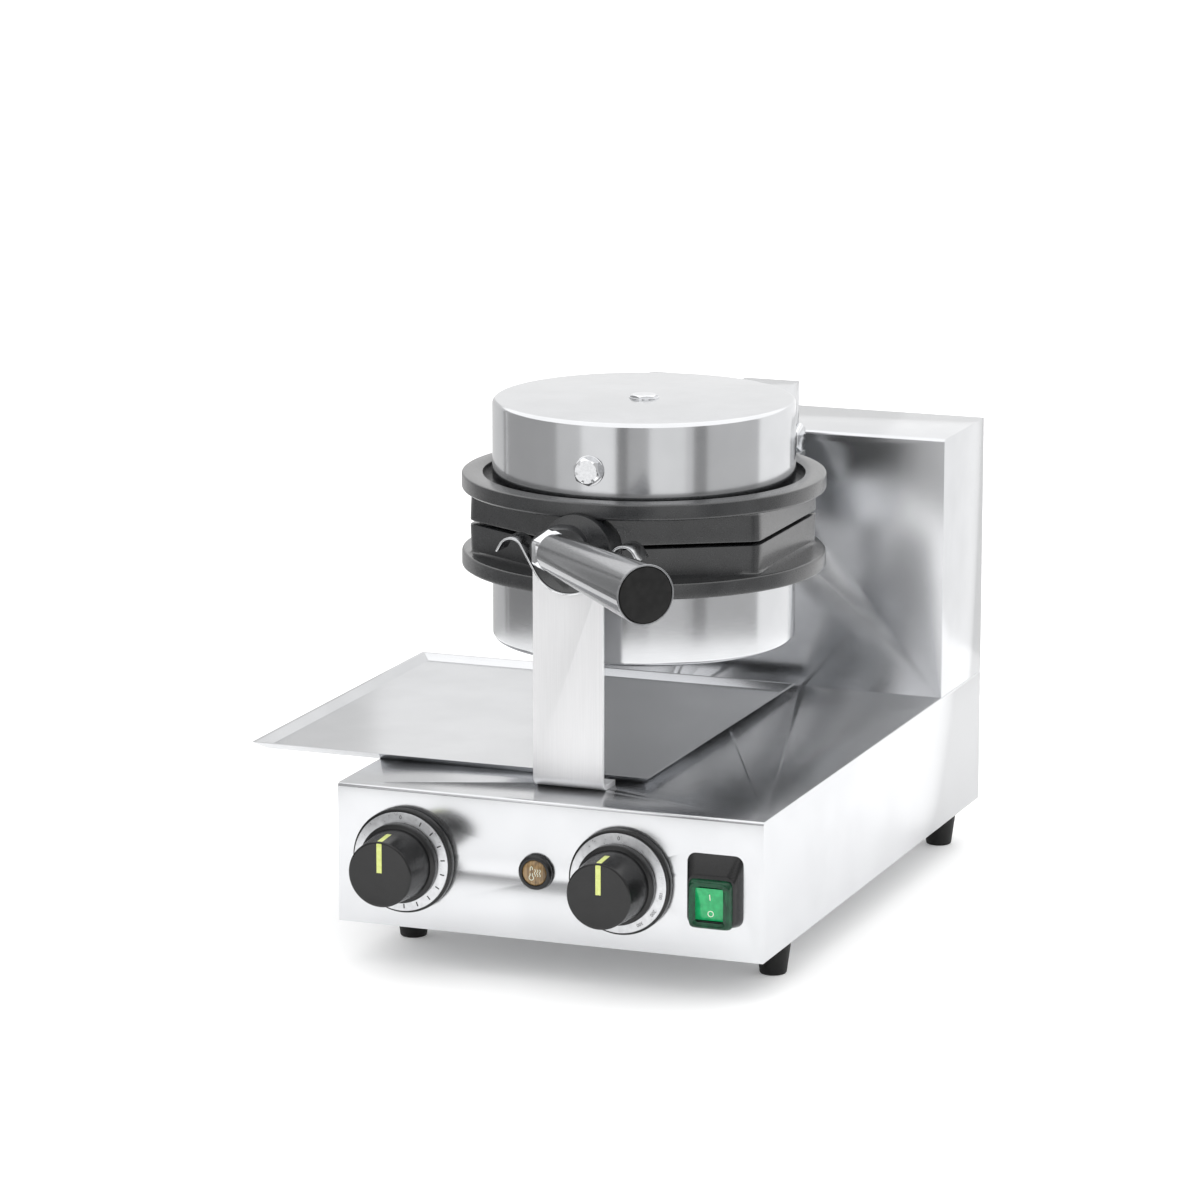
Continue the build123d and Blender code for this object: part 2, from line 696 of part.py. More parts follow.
def plate_casting():
    """One cast half with its raised lip behind and the bubble cavity in front."""
    casting = casting_outline() - rod_z(0, 0, LIP_R, CASTING_BACK, LIP_UP + 1)
    cavity_floor = PLATE_GAP / 2 + CAVITY_DEPTH
    casting -= extrude(hex_face(CAVITY_R), cavity_floor)
    casting -= [Pos(x, y, cavity_floor) * cup() for x, y in cup_centres()]
    return casting


def half_journal(front, upper):
    """Half of the front journal, from the split face outwards."""
    journal = rod_y(0, AXIS_Z, JOURNAL_R, front, JOURNAL_ROOT)
    face = PLATE_GAP / 2
    z0, z1 = (face, JOURNAL_R + 1) if upper else (-JOURNAL_R - 1, -face)
    side = JOURNAL_R + 1
    return journal & block(-side, side, front - 1, JOURNAL_ROOT + 1, AXIS_Z + z0, AXIS_Z + z1)


def lug_bar(radius, y0, y1):
    """Slot-shaped bar along Y that carries the handle's nut, slightly left of the middle."""
    z = AXIS_Z + HANDLE_UP
    bar = rod_y(-LUG_LEFT, z, radius, y0, y1) + rod_y(-LUG_RIGHT, z, radius, y0, y1)
    return bar + block(-LUG_LEFT, -LUG_RIGHT, y0, y1, z - radius, z + radius)


def upper_plate():
    """Upper casting, relieved for the axle boss and tapped for the channel's screws."""
    plate = in_half(plate_casting(), True)
    boss_front = AXLE_BOSS_ROOT - JOURNAL_RELIEF
    plate -= rod_y(0, AXIS_Z, AXLE_BOSS_R + JOURNAL_RELIEF, boss_front, HEAD_Y + FLANGE_R + 1)
    for x, y in channel_screw_places():
        plate -= rod_z(x, y, SCREW_R, AXIS_Z + LIP_UP - TAPPED, AXIS_Z + LIP_UP + 1)
    return plate


def lower_plate():
    """Lower casting, grooved behind for the axle."""
    return in_half(plate_casting(), False) - rod_y(0, AXIS_Z, AXLE_R, AXLE_BOSS_ROOT - 1, HEAD_Y + FLANGE_R + 1)


def upper_journal():
    """Upper half of the front journal, seated round the casting's corner, with the lug for the handle."""
    cutter = Pos(0, 0, MACHINED / 2) * Box(MACHINED, MACHINED, MACHINED)
    ahead = handle_place(HANDLE_ROOT - NUT_H) * cutter
    journal = half_journal(JOURNAL_UPPER_FRONT, True) - in_half(casting_outline(), True)
    journal += lug_bar(LUG_R, LUG_FRONT, LUG_ROOT) - ahead
    return journal - handle_place(HANDLE_ROOT - NUT_H - STUD_IN_LUG) * rod_z(0, 0, STUD_R, 0, STUD_IN_LUG + 1)


def lower_journal():
    """Lower half of the front journal, seated round the casting's corner and hollowed for the lug."""
    journal = half_journal(JOURNAL_LOWER_FRONT, False) - in_half(casting_outline(), False)
    return journal - lug_bar(LUG_R + JOURNAL_RELIEF, JOURNAL_LOWER_FRONT - 1, LUG_ROOT + JOURNAL_RELIEF)


def axle_boss():
    """Boss on the lower casting's rear corner that the axle is fixed in."""
    boss = rod_y(0, AXIS_Z, AXLE_BOSS_R, AXLE_BOSS_ROOT, AXLE_BOSS_Y) - in_half(casting_outline(), False)
    return boss - rod_y(0, AXIS_Z, AXLE_R, AXLE_BOSS_ROOT - 1, AXLE_BOSS_Y + 1)


def drum_cover():
    """Drum over the back of a casting: round wall and flat end, open towards the casting."""
    outer = rod_z(0, 0, DRUM_R, CASTING_BACK, HALF_H)
    outer = chamfer(outer.edges().filter_by(GeomType.CIRCLE).group_by(Axis.Z)[-1], DRUM_EDGE)
    drum = outer - rod_z(0, 0, DRUM_R - DRUM_WALL, CASTING_BACK - 1, HALF_H - DRUM_WALL)
    drum -= rod_z(0, 0, COVER_BOLT_SHANK_R, HALF_H - DRUM_WALL - 1, HALF_H + 1)
    return drum - rod_y(0, SIDE_BOLT_UP, COVER_BOLT_SHANK_R, -DRUM_R - 1, -DRUM_R + 2 * DRUM_EDGE)


def ring_heater():
    """Flat ring heater on the back of a casting, with two upright terminals."""
    z1 = CASTING_BACK + HEATER_H
    heater = rod_z(0, 0, HEATER_OUT_R, CASTING_BACK, z1) - rod_z(0, 0, HEATER_IN_R, CASTING_BACK - 1, z1 + 1)
    for side in (-1, 1):
        x = side * TERMINAL_X
        y = HEATER_OUT_R - TERMINAL_IN
        half_w, half_t = TERMINAL_W / 2, TERMINAL_T / 2
        heater += block(x - half_w, x + half_w, y - half_t, y + half_t, z1 - 1, z1 + TERMINAL_H)
    return heater


def clamp_disc():
    """Steel disc that presses the heater on, with the long stud that the cover's end bolt screws on to."""
    z0 = CASTING_BACK + HEATER_H
    disc = rod_z(0, 0, CLAMP_R - CLAMP_RIM, z0, z0 + CLAMP_T)
    return disc + rod_z(0, 0, COVER_BOLT_SHANK_R, CASTING_BACK, HALF_H)


def cover_angle():
    """Angle inside the front of the drum that its side bolt screws into."""
    y0 = -DRUM_R + DRUM_WALL + ANGLE_GAP
    half = ANGLE_W / 2
    upright = block(-half, half, y0, y0 + ANGLE_T, CASTING_BACK, SIDE_BOLT_UP + ANGLE_TOP)
    foot = block(-half, half, y0, y0 + ANGLE_FOOT, CASTING_BACK, CASTING_BACK + ANGLE_T)
    angle = upright + foot
    y1 = y0 + ANGLE_T + WELD_NUT_H
    angle += rod_y(0, SIDE_BOLT_UP, WELD_NUT_R, y0 + ANGLE_T, y1)
    return angle - rod_y(0, SIDE_BOLT_UP, COVER_BOLT_SHANK_R, y0 - 1, y1 + 1)


def cover_bolts():
    """The two hexagon bolts that hold a drum: one on its end, one on its front."""
    washer = rod_z(0, 0, COVER_BOLT_AF / 2 + COVER_WASHER_RIM, HALF_H, HALF_H + COVER_WASHER_T)
    head = Pos(0, 0, HALF_H + COVER_WASHER_T) * hexagon(COVER_BOLT_AF, COVER_BOLT_H - COVER_WASHER_T)
    place = Pos(0, -DRUM_R + OVERLAP, SIDE_BOLT_UP) * Rot(90, 0, 0)
    front = place * hexagon(COVER_BOLT_AF, COVER_BOLT_H + OVERLAP)
    front -= rod_z(0, 0, DRUM_R, 0, HALF_H)
    shank = rod_y(0, SIDE_BOLT_UP, COVER_BOLT_SHANK_R, -DRUM_R - 1, -DRUM_R + DRUM_WALL + ANGLE_LEG / 2)
    return [washer + head, front + shank]


def both(piece_function, upper):
    """Builds a piece of a half and puts it in place."""
    made = piece_function()
    if isinstance(made, list):
        return [in_half(piece, upper) for piece in made]
    return in_half(made, upper)


def ear_outline():
    """Side view of a yoke ear: up to the pivot, with the heel on which the open lid rests."""
    turn = radians(LID_OPEN)
    reach = CHANNEL_TOP_UP - CHANNEL_T - PIVOT_UP - STOP_PLAY
    normal = (sin(turn), cos(turn))
    along = (cos(turn), -sin(turn))
    near, far = HEEL
    upper = (PIVOT_Y + reach * normal[0] + near * along[0], PIVOT_Z + reach * normal[1] + near * along[1])
    lower = (PIVOT_Y + reach * normal[0] + far * along[0], PIVOT_Z + reach * normal[1] + far * along[1])
    bottom = AXIS_Z - YOKE_DOWN
    slope_y, slope_z = EAR_SLOPE
    corner = EAR_R * EAR_ROUND
    return [
        (AXLE_BOSS_Y, bottom),
        (PIVOT_Y, bottom),
        lower,
        upper,
        (PIVOT_Y + EAR_R + slope_y, PIVOT_Z - EAR_R - slope_z),
        (PIVOT_Y + EAR_R, PIVOT_Z - EAR_R),
        (PIVOT_Y + EAR_R, PIVOT_Z),
        (PIVOT_Y + corner, PIVOT_Z + corner),
        (PIVOT_Y, PIVOT_Z + EAR_R),
        (PIVOT_Y - corner, PIVOT_Z + corner),
        (PIVOT_Y - EAR_R, PIVOT_Z),
        (AXLE_BOSS_Y, AXIS_Z + EAR_NECK),
    ]


def hinge_yoke():
    """Two ears on a cross plate, fixed to the end of the axle boss of the lower casting."""
    y1 = AXLE_BOSS_Y + EAR_T
    yoke = block(-EAR_OUT, EAR_OUT, AXLE_BOSS_Y, y1, AXIS_Z - YOKE_DOWN, AXIS_Z + YOKE_UP)
    for side in (-1, 1):
        x0, x1 = sorted((side * EAR_IN, side * EAR_OUT))
        yoke += side_profile(ear_outline(), x0, x1)
    yoke -= rod_x(PIVOT_Y, PIVOT_Z, PIVOT_R + RUN_FIT, -EAR_OUT - 1, EAR_OUT + 1)
    return yoke - rod_y(0, AXIS_Z, AXLE_R + TIGHT_FIT, AXLE_BOSS_Y - 1, y1 + 1)


def channel_screw_places():
    """Screws through the channel's tabs into the flange of the upper casting."""
    x = CHANNEL_IN - CHANNEL_TAB / 2
    return [(side * x, CHANNEL_SCREW_Y) for side in (-1, 1)]


def hinge_channel():
    """Folded channel on the back of the upper half, its walls outside the yoke's ears."""
    top = AXIS_Z + CHANNEL_TOP_UP
    foot = AXIS_Z + LIP_UP
    clear_drum, past_flange = CHANNEL_CLEAR
    wall_front = HEAD_Y + sqrt(DRUM_R**2 - CHANNEL_IN**2) + clear_drum
    tab_end = HEAD_Y + sqrt(FLANGE_R**2 - CHANNEL_OUT**2) + past_flange
    side_view = [
        (wall_front, foot),
        (tab_end, foot),
        (PIVOT_Y - EAR_R, PIVOT_Z - EAR_R),
        (CHANNEL_REAR - CHANNEL_CORNER, PIVOT_Z - EAR_R),
        (CHANNEL_REAR, PIVOT_Z - EAR_R + CHANNEL_CORNER),
        (CHANNEL_REAR, top),
        (wall_front, top),
    ]
    channel = block(-CHANNEL_OUT, CHANNEL_OUT, CHANNEL_FRONT, CHANNEL_REAR, top - CHANNEL_T, top)
    for side in (-1, 1):
        x0, x1 = sorted((side * CHANNEL_IN, side * CHANNEL_OUT))
        channel += side_profile(side_view, x0, x1)
        t0, t1 = sorted((side * CHANNEL_IN, side * (CHANNEL_IN - CHANNEL_TAB)))
        channel += block(t0, t1, CHANNEL_TAB_FRONT, tab_end, foot, foot + CHANNEL_T)
    channel -= rod_z(0, HEAD_Y, DRUM_R + TIGHT_FIT, foot - 1, top + 1)
    notch_side, notch_back = AXLE_NOTCH
    notch = AXLE_R + notch_side
    channel -= block(
        -notch, notch, CHANNEL_REAR - notch_back, CHANNEL_REAR + 1, top - 2 * CHANNEL_T, top + 1
    )
    channel -= rod_x(PIVOT_Y, PIVOT_Z, PIVOT_R, -CHANNEL_OUT - 1, CHANNEL_OUT + 1)
    slot_y = PIVOT_Y + SLOT_BACK
    slot_z = PIVOT_Z + SLOT_UP
    channel -= block(
        -CHANNEL_OUT - 1, CHANNEL_OUT + 1,
        slot_y - SLOT_W / 2, slot_y + SLOT_W / 2, slot_z - SLOT_H / 2, slot_z + SLOT_H / 2,
    )
    for x, y in channel_screw_places():
        channel -= rod_z(x, y, SCREW_R + SCREW_CLEAR, foot - 1, foot + CHANNEL_T + 1)
    return channel


def channel_screws():
    """Screws that hold the channel's tabs to the flange."""
    z = AXIS_Z + LIP_UP + CHANNEL_T
    return [Pos(x, y, z) * screw(CHANNEL_T + SCREW_GRIP) for x, y in channel_screw_places()]


def pivot_bolts():
    """Shoulder bolts of the lid hinge, heads outside the channel."""
    made = []
    for side in (-1, 1):
        bolt = rod_x(0, 0, PIVOT_R, EAR_IN - PIVOT_END, CHANNEL_OUT)
        bolt += Pos(CHANNEL_OUT, 0, 0) * Rot(0, 90, 0) * hexagon(PIVOT_HEAD_AF, PIVOT_HEAD_H)
        turn = Rot(0, 0, 0) if side > 0 else Rot(0, 180, 0)
        made.append(Pos(0, PIVOT_Y, PIVOT_Z) * turn * bolt)
    return made


def pivot_nuts():
    """Lock nuts on the inner ends of the hinge bolts."""
    made = []
    for side in (-1, 1):
        inner = EAR_IN - PIVOT_NUT_H - PIVOT_NUT_PLAY
        nut = Pos(inner, 0, 0) * Rot(0, 90, 0) * hexagon(PIVOT_NUT_AF, PIVOT_NUT_H)
        nut -= rod_x(0, 0, PIVOT_R, EAR_IN - PIVOT_END, EAR_IN)
        turn = Rot(0, 0, 0) if side > 0 else Rot(0, 180, 0)
        made.append(Pos(0, PIVOT_Y, PIVOT_Z) * turn * nut)
    return made


def handle_place(along):
    """Place on the handle's line, its Z pointing away from the head."""
    a = radians(HANDLE_ANGLE)
    origin = (along * cos(a), HANDLE_CROSS_Y - along * sin(a), AXIS_Z + HANDLE_UP)
    return Location(Plane(origin=origin, x_dir=(0, 0, 1), z_dir=(cos(a), -sin(a), 0)))


def handle_stud():
    """Stud from the neck of the casting into the handle."""
    length = STUD_IN_LUG + NUT_H + STUD_IN_TUBE
    return handle_place(HANDLE_ROOT - NUT_H - STUD_IN_LUG) * rod_z(0, 0, STUD_R, 0, length)


def handle_nut():
    """Bright lock nut between the neck and the handle, its corners turned off."""
    nut = hexagon(NUT_AF, NUT_H) & Pos(0, 0, NUT_H / 2) * Cylinder(NUT_AF / 2 * NUT_ROUND, NUT_H)
    nut -= rod_z(0, 0, STUD_R, -1, NUT_H + 1)
    return handle_place(HANDLE_ROOT - NUT_H) * nut


def handle_tube():
    """Tapered polished tube with a threaded end wall, open at the tip."""
    bar = Pos(0, 0, HANDLE_LEN / 2) * Cone(HANDLE_ROOT_R, HANDLE_TIP_R, HANDLE_LEN)
    core_end = STUD_IN_TUBE
    step = (HANDLE_TIP_R - HANDLE_ROOT_R) / HANDLE_LEN
    low = HANDLE_ROOT_R + step * core_end - HANDLE_WALL
    high = HANDLE_TIP_R - HANDLE_WALL
    length = HANDLE_LEN - core_end
    bar -= Pos(0, 0, core_end + length / 2) * Cone(low, high, length)
    bar -= rod_z(0, 0, STUD_R, -1, core_end + 1)
    return handle_place(HANDLE_ROOT) * bar


def handle_cap():
    """Black cap in the open end of the handle."""
    radius = HANDLE_TIP_R - HANDLE_WALL
    step = (HANDLE_TIP_R - HANDLE_ROOT_R) / HANDLE_LEN
    plug = Pos(0, 0, -CAP_DEPTH / 2) * Cone(radius - step * CAP_DEPTH, radius, CAP_DEPTH)
    return handle_place(HANDLE_ROOT + HANDLE_LEN) * (plug + rod_z(0, 0, radius, 0, CAP_PROUD))


def dial_ring(x):
    """Black dish behind a knob."""
    ring = rod_y(x, PANEL_Z, RING_R, -RING_H, 0)
    return ring - rod_y(x, PANEL_Z, SHAFT_HOLE_R, -RING_H - 1, 1)


def dial(x):
    """Silver dial on the dish."""
    y0 = -RING_H - DIAL_H
    disc = rod_y(x, PANEL_Z, DIAL_R, y0, -RING_H)
    return disc - rod_y(x, PANEL_Z, SHAFT_HOLE_R, y0 - 1, 1)


def knob_form(grow):
    """Knob as a turned form round the Y axis, its skin moved outwards by a set amount."""
    back = -RING_H - DIAL_H - KNOB_GAP
    front = -KNOB_FRONT - grow
    profile = [
        (0, front),
        (KNOB_TIP_R - KNOB_EDGE + grow, front),
        (KNOB_TIP_R + grow, front + KNOB_EDGE),
        (KNOB_TIP_R + KNOB_FLARE + grow, back - KNOB_SKIRT_H),
        (KNOB_SKIRT_R + grow, back - KNOB_SKIRT_H + KNOB_EDGE),
        (KNOB_SKIRT_R + grow, back),
        (0, back),
    ]
    return revolve(make_face(Polyline(*[(x, y, 0) for x, y in profile], close=True)), Axis.Y)


def pointer_groove():
    """Groove from the knob's middle over its front edge, as deep as the pointer is thick."""
    half = POINTER_W / 2
    strip = block(-half, half, -KNOB_FRONT - 1, -KNOB_FRONT + POINTER_BACK, POINTER_START, KNOB_SKIRT_R)
    return strip - knob_form(-POINTER_T)


def knob(x):
    """Black knob: round skirt, tapered grip and flat front, with a groove for its pointer."""
    body = knob_form(0) - pointer_groove() - rod_y(0, 0, SHAFT_R, -KNOB_FRONT + KNOB_WALL, 1)
    return Pos(x, 0, PANEL_Z) * body


def pointer(x):
    """Coloured pointer inlaid in the knob."""
    return Pos(x, 0, PANEL_Z) * (pointer_groove() & knob_form(POINTER_PROUD))


def shaft(x, body_depth):
    """Control shaft from the control into the knob."""
    return rod_y(x, PANEL_Z, SHAFT_R, -KNOB_FRONT + KNOB_WALL, SHEET + body_depth / 2)


def control_body(x, size):
    """Control behind the panel: a box with a threaded bush through the panel hole."""
    w, d, h = size
    y0 = SHEET
    body = block(x - w / 2, x + w / 2, y0, y0 + d, PANEL_Z - h / 2, PANEL_Z + h / 2)
    body += rod_y(x, PANEL_Z, SHAFT_HOLE_R - FIT, -RING_H + 1, y0 + 1)
    return body - rod_y(x, PANEL_Z, SHAFT_R + RUN_FIT, -RING_H - 1, y0 + d / 2 + FIT)


def lamp_body():
    """Round lamp holder with its bezel in front of the panel."""
    bezel = rod_y(LAMP_X, PANEL_Z, LAMP_R, -LAMP_H, 0)
    bezel = chamfer(bezel.edges().filter_by(GeomType.CIRCLE).group_by(Axis.Y)[0], LAMP_EDGE)
    body = bezel + rod_y(LAMP_X, PANEL_Z, LAMP_BODY_R, 0, LAMP_DEPTH)
    return body - rod_y(LAMP_X, PANEL_Z, LAMP_LENS_R, -LAMP_H - 1, -LENS_SEAT)


def lamp_lens():
    """Amber lens in the lamp bezel."""
    lens = rod_y(LAMP_X, PANEL_Z, LAMP_LENS_R, -LENS_H, -LENS_SEAT)
    return chamfer(lens.edges().filter_by(GeomType.CIRCLE).group_by(Axis.Y)[0], LENS_EDGE)


def switch_outline(width, height, y, z):
    """Rounded outline of the switch frame on a plane in front of the panel."""
    plane = Plane(origin=(SWITCH_X, y, z), x_dir=(1, 0, 0), z_dir=(0, -1, 0))
    return plane * RectangleRounded(width, height, SWITCH_CORNER)


def switch_frame():
    """Sealing frame that narrows to a low window for the rocker, with the switch body behind the panel."""
    wide = switch_outline(SWITCH_W, SWITCH_H, 0, PANEL_Z)
    narrow = switch_outline(SWITCH_RIM_W, SWITCH_RIM_H, -SWITCH_FRAME_H, ROCKER_Z)
    frame = loft([wide, narrow], ruled=True)
    half_w = ROCKER_W / 2 + SWITCH_BODY_WALL
    half_h = ROCKER_H / 2 + SWITCH_BODY_WALL
    frame += block(
        SWITCH_X - half_w, SWITCH_X + half_w, -1, SHEET + SWITCH_BODY_D, ROCKER_Z - half_h, ROCKER_Z + half_h
    )
    play_w = ROCKER_W / 2 + ROCKER_PLAY
    play_h = ROCKER_H / 2 + ROCKER_PLAY
    depth = rocker_pivot_y() + ROCKER_WEB
    frame -= block(
        SWITCH_X - play_w, SWITCH_X + play_w, -SWITCH_FRAME_H - 1, depth, ROCKER_Z - play_h, ROCKER_Z + play_h
    )
    return frame


def rocker_pivot_y():
    """Depth of the rocker's pivot behind the panel face."""
    return SHEET + ROCKER_PIVOT


def rocker():
    """Rocker with two sloping faces, resting with its lower end pressed in."""
    pivot = rocker_pivot_y()
    front = -SWITCH_FRAME_H - ROCKER_PROUD
    half = ROCKER_H / 2 - ROCKER_SWING
    slope = tan(radians(ROCKER_TILT)) * half
    back = pivot - ROCKER_BACK
    shape = [(front, half), (front + slope, 0), (front, -half), (back, -ROCKER_WEB), (back, ROCKER_WEB)]
    body = side_profile(shape, -ROCKER_W / 2, ROCKER_W / 2)
    axle = rod_x(pivot, 0, ROCKER_AXLE_R, -ROCKER_W / 2, ROCKER_W / 2)
    link = block(
        -ROCKER_W / 2, ROCKER_W / 2, pivot - ROCKER_WEB, pivot, -ROCKER_AXLE_R, ROCKER_AXLE_R
    )
    body = body + link + axle
    tilted = Pos(0, pivot, 0) * Rot(ROCKER_TILT, 0, 0) * Pos(0, -pivot, 0) * body
    return Pos(SWITCH_X, 0, ROCKER_Z) * tilted


def terminal_block():
    """Mains terminal block on the bottom plate, with a partition between its ways."""
    width, depth, height = BLOCK_SIZE
    pocket_w, pocket_d, pocket_z = BLOCK_POCKET
    x0 = GLAND_X - BLOCK_LEFT_OF_GLAND
    y0 = BASE_D - BLOCK_FROM_BACK
    top = FLOOR_Z + height
    body = block(x0, x0 + width, y0, y0 + depth, FLOOR_Z, top)
    p0 = y0 + (depth - pocket_d) / 2
    for way in range(BLOCK_WAYS):
        x = x0 + BLOCK_FIRST_WAY + way * BLOCK_WAY_PITCH
        body -= block(x - pocket_w / 2, x + pocket_w / 2, p0, p0 + pocket_d, FLOOR_Z + pocket_z, top + 1)
    return body


def cable_gland():
    """Gland for the mains cable, its bore running through the back wall."""
    z = FOOT_H + GLAND_UP
    gland = rod_y(GLAND_X, z, GLAND_R - GLAND_THREAD, BASE_D - SHEET - GLAND_IN, BASE_D)
    cap = Pos(GLAND_X, BASE_D, z) * Rot(-90, 0, 0) * hexagon(2 * GLAND_R, GLAND_CAP_H)
    gland += cap + rod_y(GLAND_X, z, GLAND_R - GLAND_COLLAR, BASE_D + GLAND_CAP_H, BASE_D + GLAND_OUT)
    return gland - rod_y(GLAND_X, z, GLAND_BORE_R, BASE_D - SHEET - GLAND_IN - 1, BASE_D + GLAND_OUT + 1)


def gland_nut():
    """Lock nut of the gland inside the base."""
    z = FOOT_H + GLAND_UP
    place = Pos(GLAND_X, BASE_D - SHEET, z) * Rot(90, 0, 0)
    nut = place * hexagon(GLAND_NUT_AF, GLAND_NUT_H)
    return nut - rod_y(GLAND_X, z, GLAND_R - GLAND_THREAD, BASE_D - SHEET - GLAND_NUT_H - 1, BASE_D)


def drip_tray():
    """Shallow tray with a sloping rim on all four sides, lying on the base."""
    x1 = TRAY_RIGHT
    x0 = x1 - TRAY_W
    y0 = TRAY_FRONT
    y1 = y0 + TRAY_D
    middle = Pos((x0 + x1) / 2, (y0 + y1) / 2, BASE_TOP)
    slope_w = TRAY_W - 2 * TRAY_RIM
    slope_d = TRAY_D - 2 * TRAY_RIM
    low = Rectangle(slope_w, slope_d)
    high = Pos(0, 0, TRAY_RIM_UP) * Rectangle(TRAY_W, TRAY_D)
    outer = loft([low, high], ruled=True)
    low_in = Pos(0, 0, TRAY_T) * Rectangle(slope_w - TRAY_T, slope_d - TRAY_T)
    high_in = Pos(0, 0, TRAY_RIM_UP + TRAY_T) * Rectangle(TRAY_W - TRAY_T, TRAY_D - TRAY_T)
    return middle * (outer - loft([low_in, high_in], ruled=True))


def nodes():
    """Every piece of the machine by name."""
    return {
        "base_housing": base_housing(),
        "bottom_plate": bottom_plate(),
        "bottom_screws": bottom_screws(),
        "feet": feet(),
        "foot_screws": foot_screws(),
        "tower_cover": tower_cover(),
        "tower_back_panel": tower_back_panel(),
        "back_panel_screws": back_panel_screws(),
        "bearing_bracket": bearing_bracket(),
        "bracket_screws": bracket_screws(),
        "rear_bush": rear_bush(),
        "front_post": front_post(),
        "post_screws": post_screws(),
        "saddle_spring": saddle_spring(),
        "timer_ring": dial_ring(TIMER_X),
        "timer_dial": dial(TIMER_X),
        "timer_body": control_body(TIMER_X, TIMER_BODY),
        "timer_knob": knob(TIMER_X),
        "timer_pointer": pointer(TIMER_X),
        "timer_shaft": shaft(TIMER_X, TIMER_BODY[1]),
        "thermostat_ring": dial_ring(THERMOSTAT_X),
        "thermostat_dial": dial(THERMOSTAT_X),
        "thermostat_body": control_body(THERMOSTAT_X, THERMOSTAT_BODY),
        "thermostat_knob": knob(THERMOSTAT_X),
        "thermostat_pointer": pointer(THERMOSTAT_X),
        "thermostat_shaft": shaft(THERMOSTAT_X, THERMOSTAT_BODY[1]),
        "lamp_body": lamp_body(),
        "lamp_lens": lamp_lens(),
        "switch_frame": switch_frame(),
        "rocker": rocker(),
        "terminal_block": terminal_block(),
        "cable_gland": cable_gland(),
        "gland_nut": gland_nut(),
        "drip_tray": drip_tray(),
        "lower_plate": lower_plate(),
        "lower_journal": lower_journal(),
        "axle_boss": axle_boss(),
        "lower_cover": both(drum_cover, False),
        "lower_heater": both(ring_heater, False),
        "lower_clamp_disc": both(clamp_disc, False),
        "lower_cover_angle": both(cover_angle, False),
        "lower_cover_bolts": both(cover_bolts, False),
        "hinge_yoke": hinge_yoke(),
        "head_axle": head_axle(),
        "stop_collar": stop_collar(),
        "upper_plate": upper_plate(),
        "upper_journal": upper_journal(),
        "upper_cover": both(drum_cover, True),
        "upper_heater": both(ring_heater, True),
        "upper_clamp_disc": both(clamp_disc, True),
        "upper_cover_angle": both(cover_angle, True),
        "upper_cover_bolts": both(cover_bolts, True),
        "hinge_channel": hinge_channel(),
        "channel_screws": channel_screws(),
        "pivot_bolts": pivot_bolts(),
        "pivot_nuts": pivot_nuts(),
        "handle_stud": handle_stud(),
        "handle_nut": handle_nut(),
        "handle_tube": handle_tube(),
        "handle_cap": handle_cap(),
    }


def write(name, made, shift):
    """Writes one piece, or a group of like pieces, in its final place."""
    pieces = made if isinstance(made, list) else [made]
    solids = [solid for piece in pieces for solid in (shift * piece).solids()]
    shape = solids[0] if len(solids) == 1 else Compound(children=solids)
    export_step(shape, os.path.join("parts", name + ".step"))


os.makedirs("parts", exist_ok=True)
footprint_middle = (
    (FOOTPRINT_LEFT + FOOTPRINT_RIGHT) / 2,
    (FOOTPRINT_FRONT + FOOTPRINT_REAR) / 2,
)
to_origin = Pos(-footprint_middle[0], -footprint_middle[1], 0)
for node, piece in nodes().items():
    write(node, piece, to_origin)
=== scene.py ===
"""Looks of the bubble waffle maker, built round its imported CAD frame.

Metres, +X to the right, +Y to the back, +Z up. Laid out as an add-on: every group of pieces is one
operator, and the sizes and colours that a user would change are properties with their defaults.
"""

import json
import math

import bmesh
import bpy
from bpy.props import FloatProperty, FloatVectorProperty, IntProperty, PointerProperty, StringProperty
from mathutils import Matrix, Vector

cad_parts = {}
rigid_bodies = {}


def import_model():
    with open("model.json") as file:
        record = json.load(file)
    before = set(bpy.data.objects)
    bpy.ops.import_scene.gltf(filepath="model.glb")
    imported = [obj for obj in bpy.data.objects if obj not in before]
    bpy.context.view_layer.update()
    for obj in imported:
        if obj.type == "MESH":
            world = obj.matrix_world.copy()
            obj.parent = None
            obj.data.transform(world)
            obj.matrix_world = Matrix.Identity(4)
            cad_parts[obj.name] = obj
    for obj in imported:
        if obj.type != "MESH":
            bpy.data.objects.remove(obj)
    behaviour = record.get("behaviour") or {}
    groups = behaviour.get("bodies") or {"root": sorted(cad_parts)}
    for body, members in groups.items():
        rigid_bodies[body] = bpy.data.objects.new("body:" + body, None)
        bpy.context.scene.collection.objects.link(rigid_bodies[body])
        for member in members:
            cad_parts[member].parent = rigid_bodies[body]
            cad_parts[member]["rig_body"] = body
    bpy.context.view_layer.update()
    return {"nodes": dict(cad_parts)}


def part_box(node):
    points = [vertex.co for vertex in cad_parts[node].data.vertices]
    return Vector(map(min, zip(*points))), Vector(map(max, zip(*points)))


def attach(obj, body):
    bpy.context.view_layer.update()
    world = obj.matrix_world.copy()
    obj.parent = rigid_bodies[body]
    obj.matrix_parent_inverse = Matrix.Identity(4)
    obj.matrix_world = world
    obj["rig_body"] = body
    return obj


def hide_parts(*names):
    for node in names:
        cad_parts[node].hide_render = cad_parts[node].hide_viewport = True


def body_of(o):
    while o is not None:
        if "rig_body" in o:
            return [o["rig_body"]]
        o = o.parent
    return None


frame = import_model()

bl_info = {
    "name": "Bubble waffle maker",
    "version": (1, 0, 0),
    "blender": (4, 5, 0),
    "location": "View3D > Sidebar > Waffle maker",
    "description": "Builds the finished pieces of a countertop bubble waffle maker",
    "category": "Object",
}

MM = 0.001

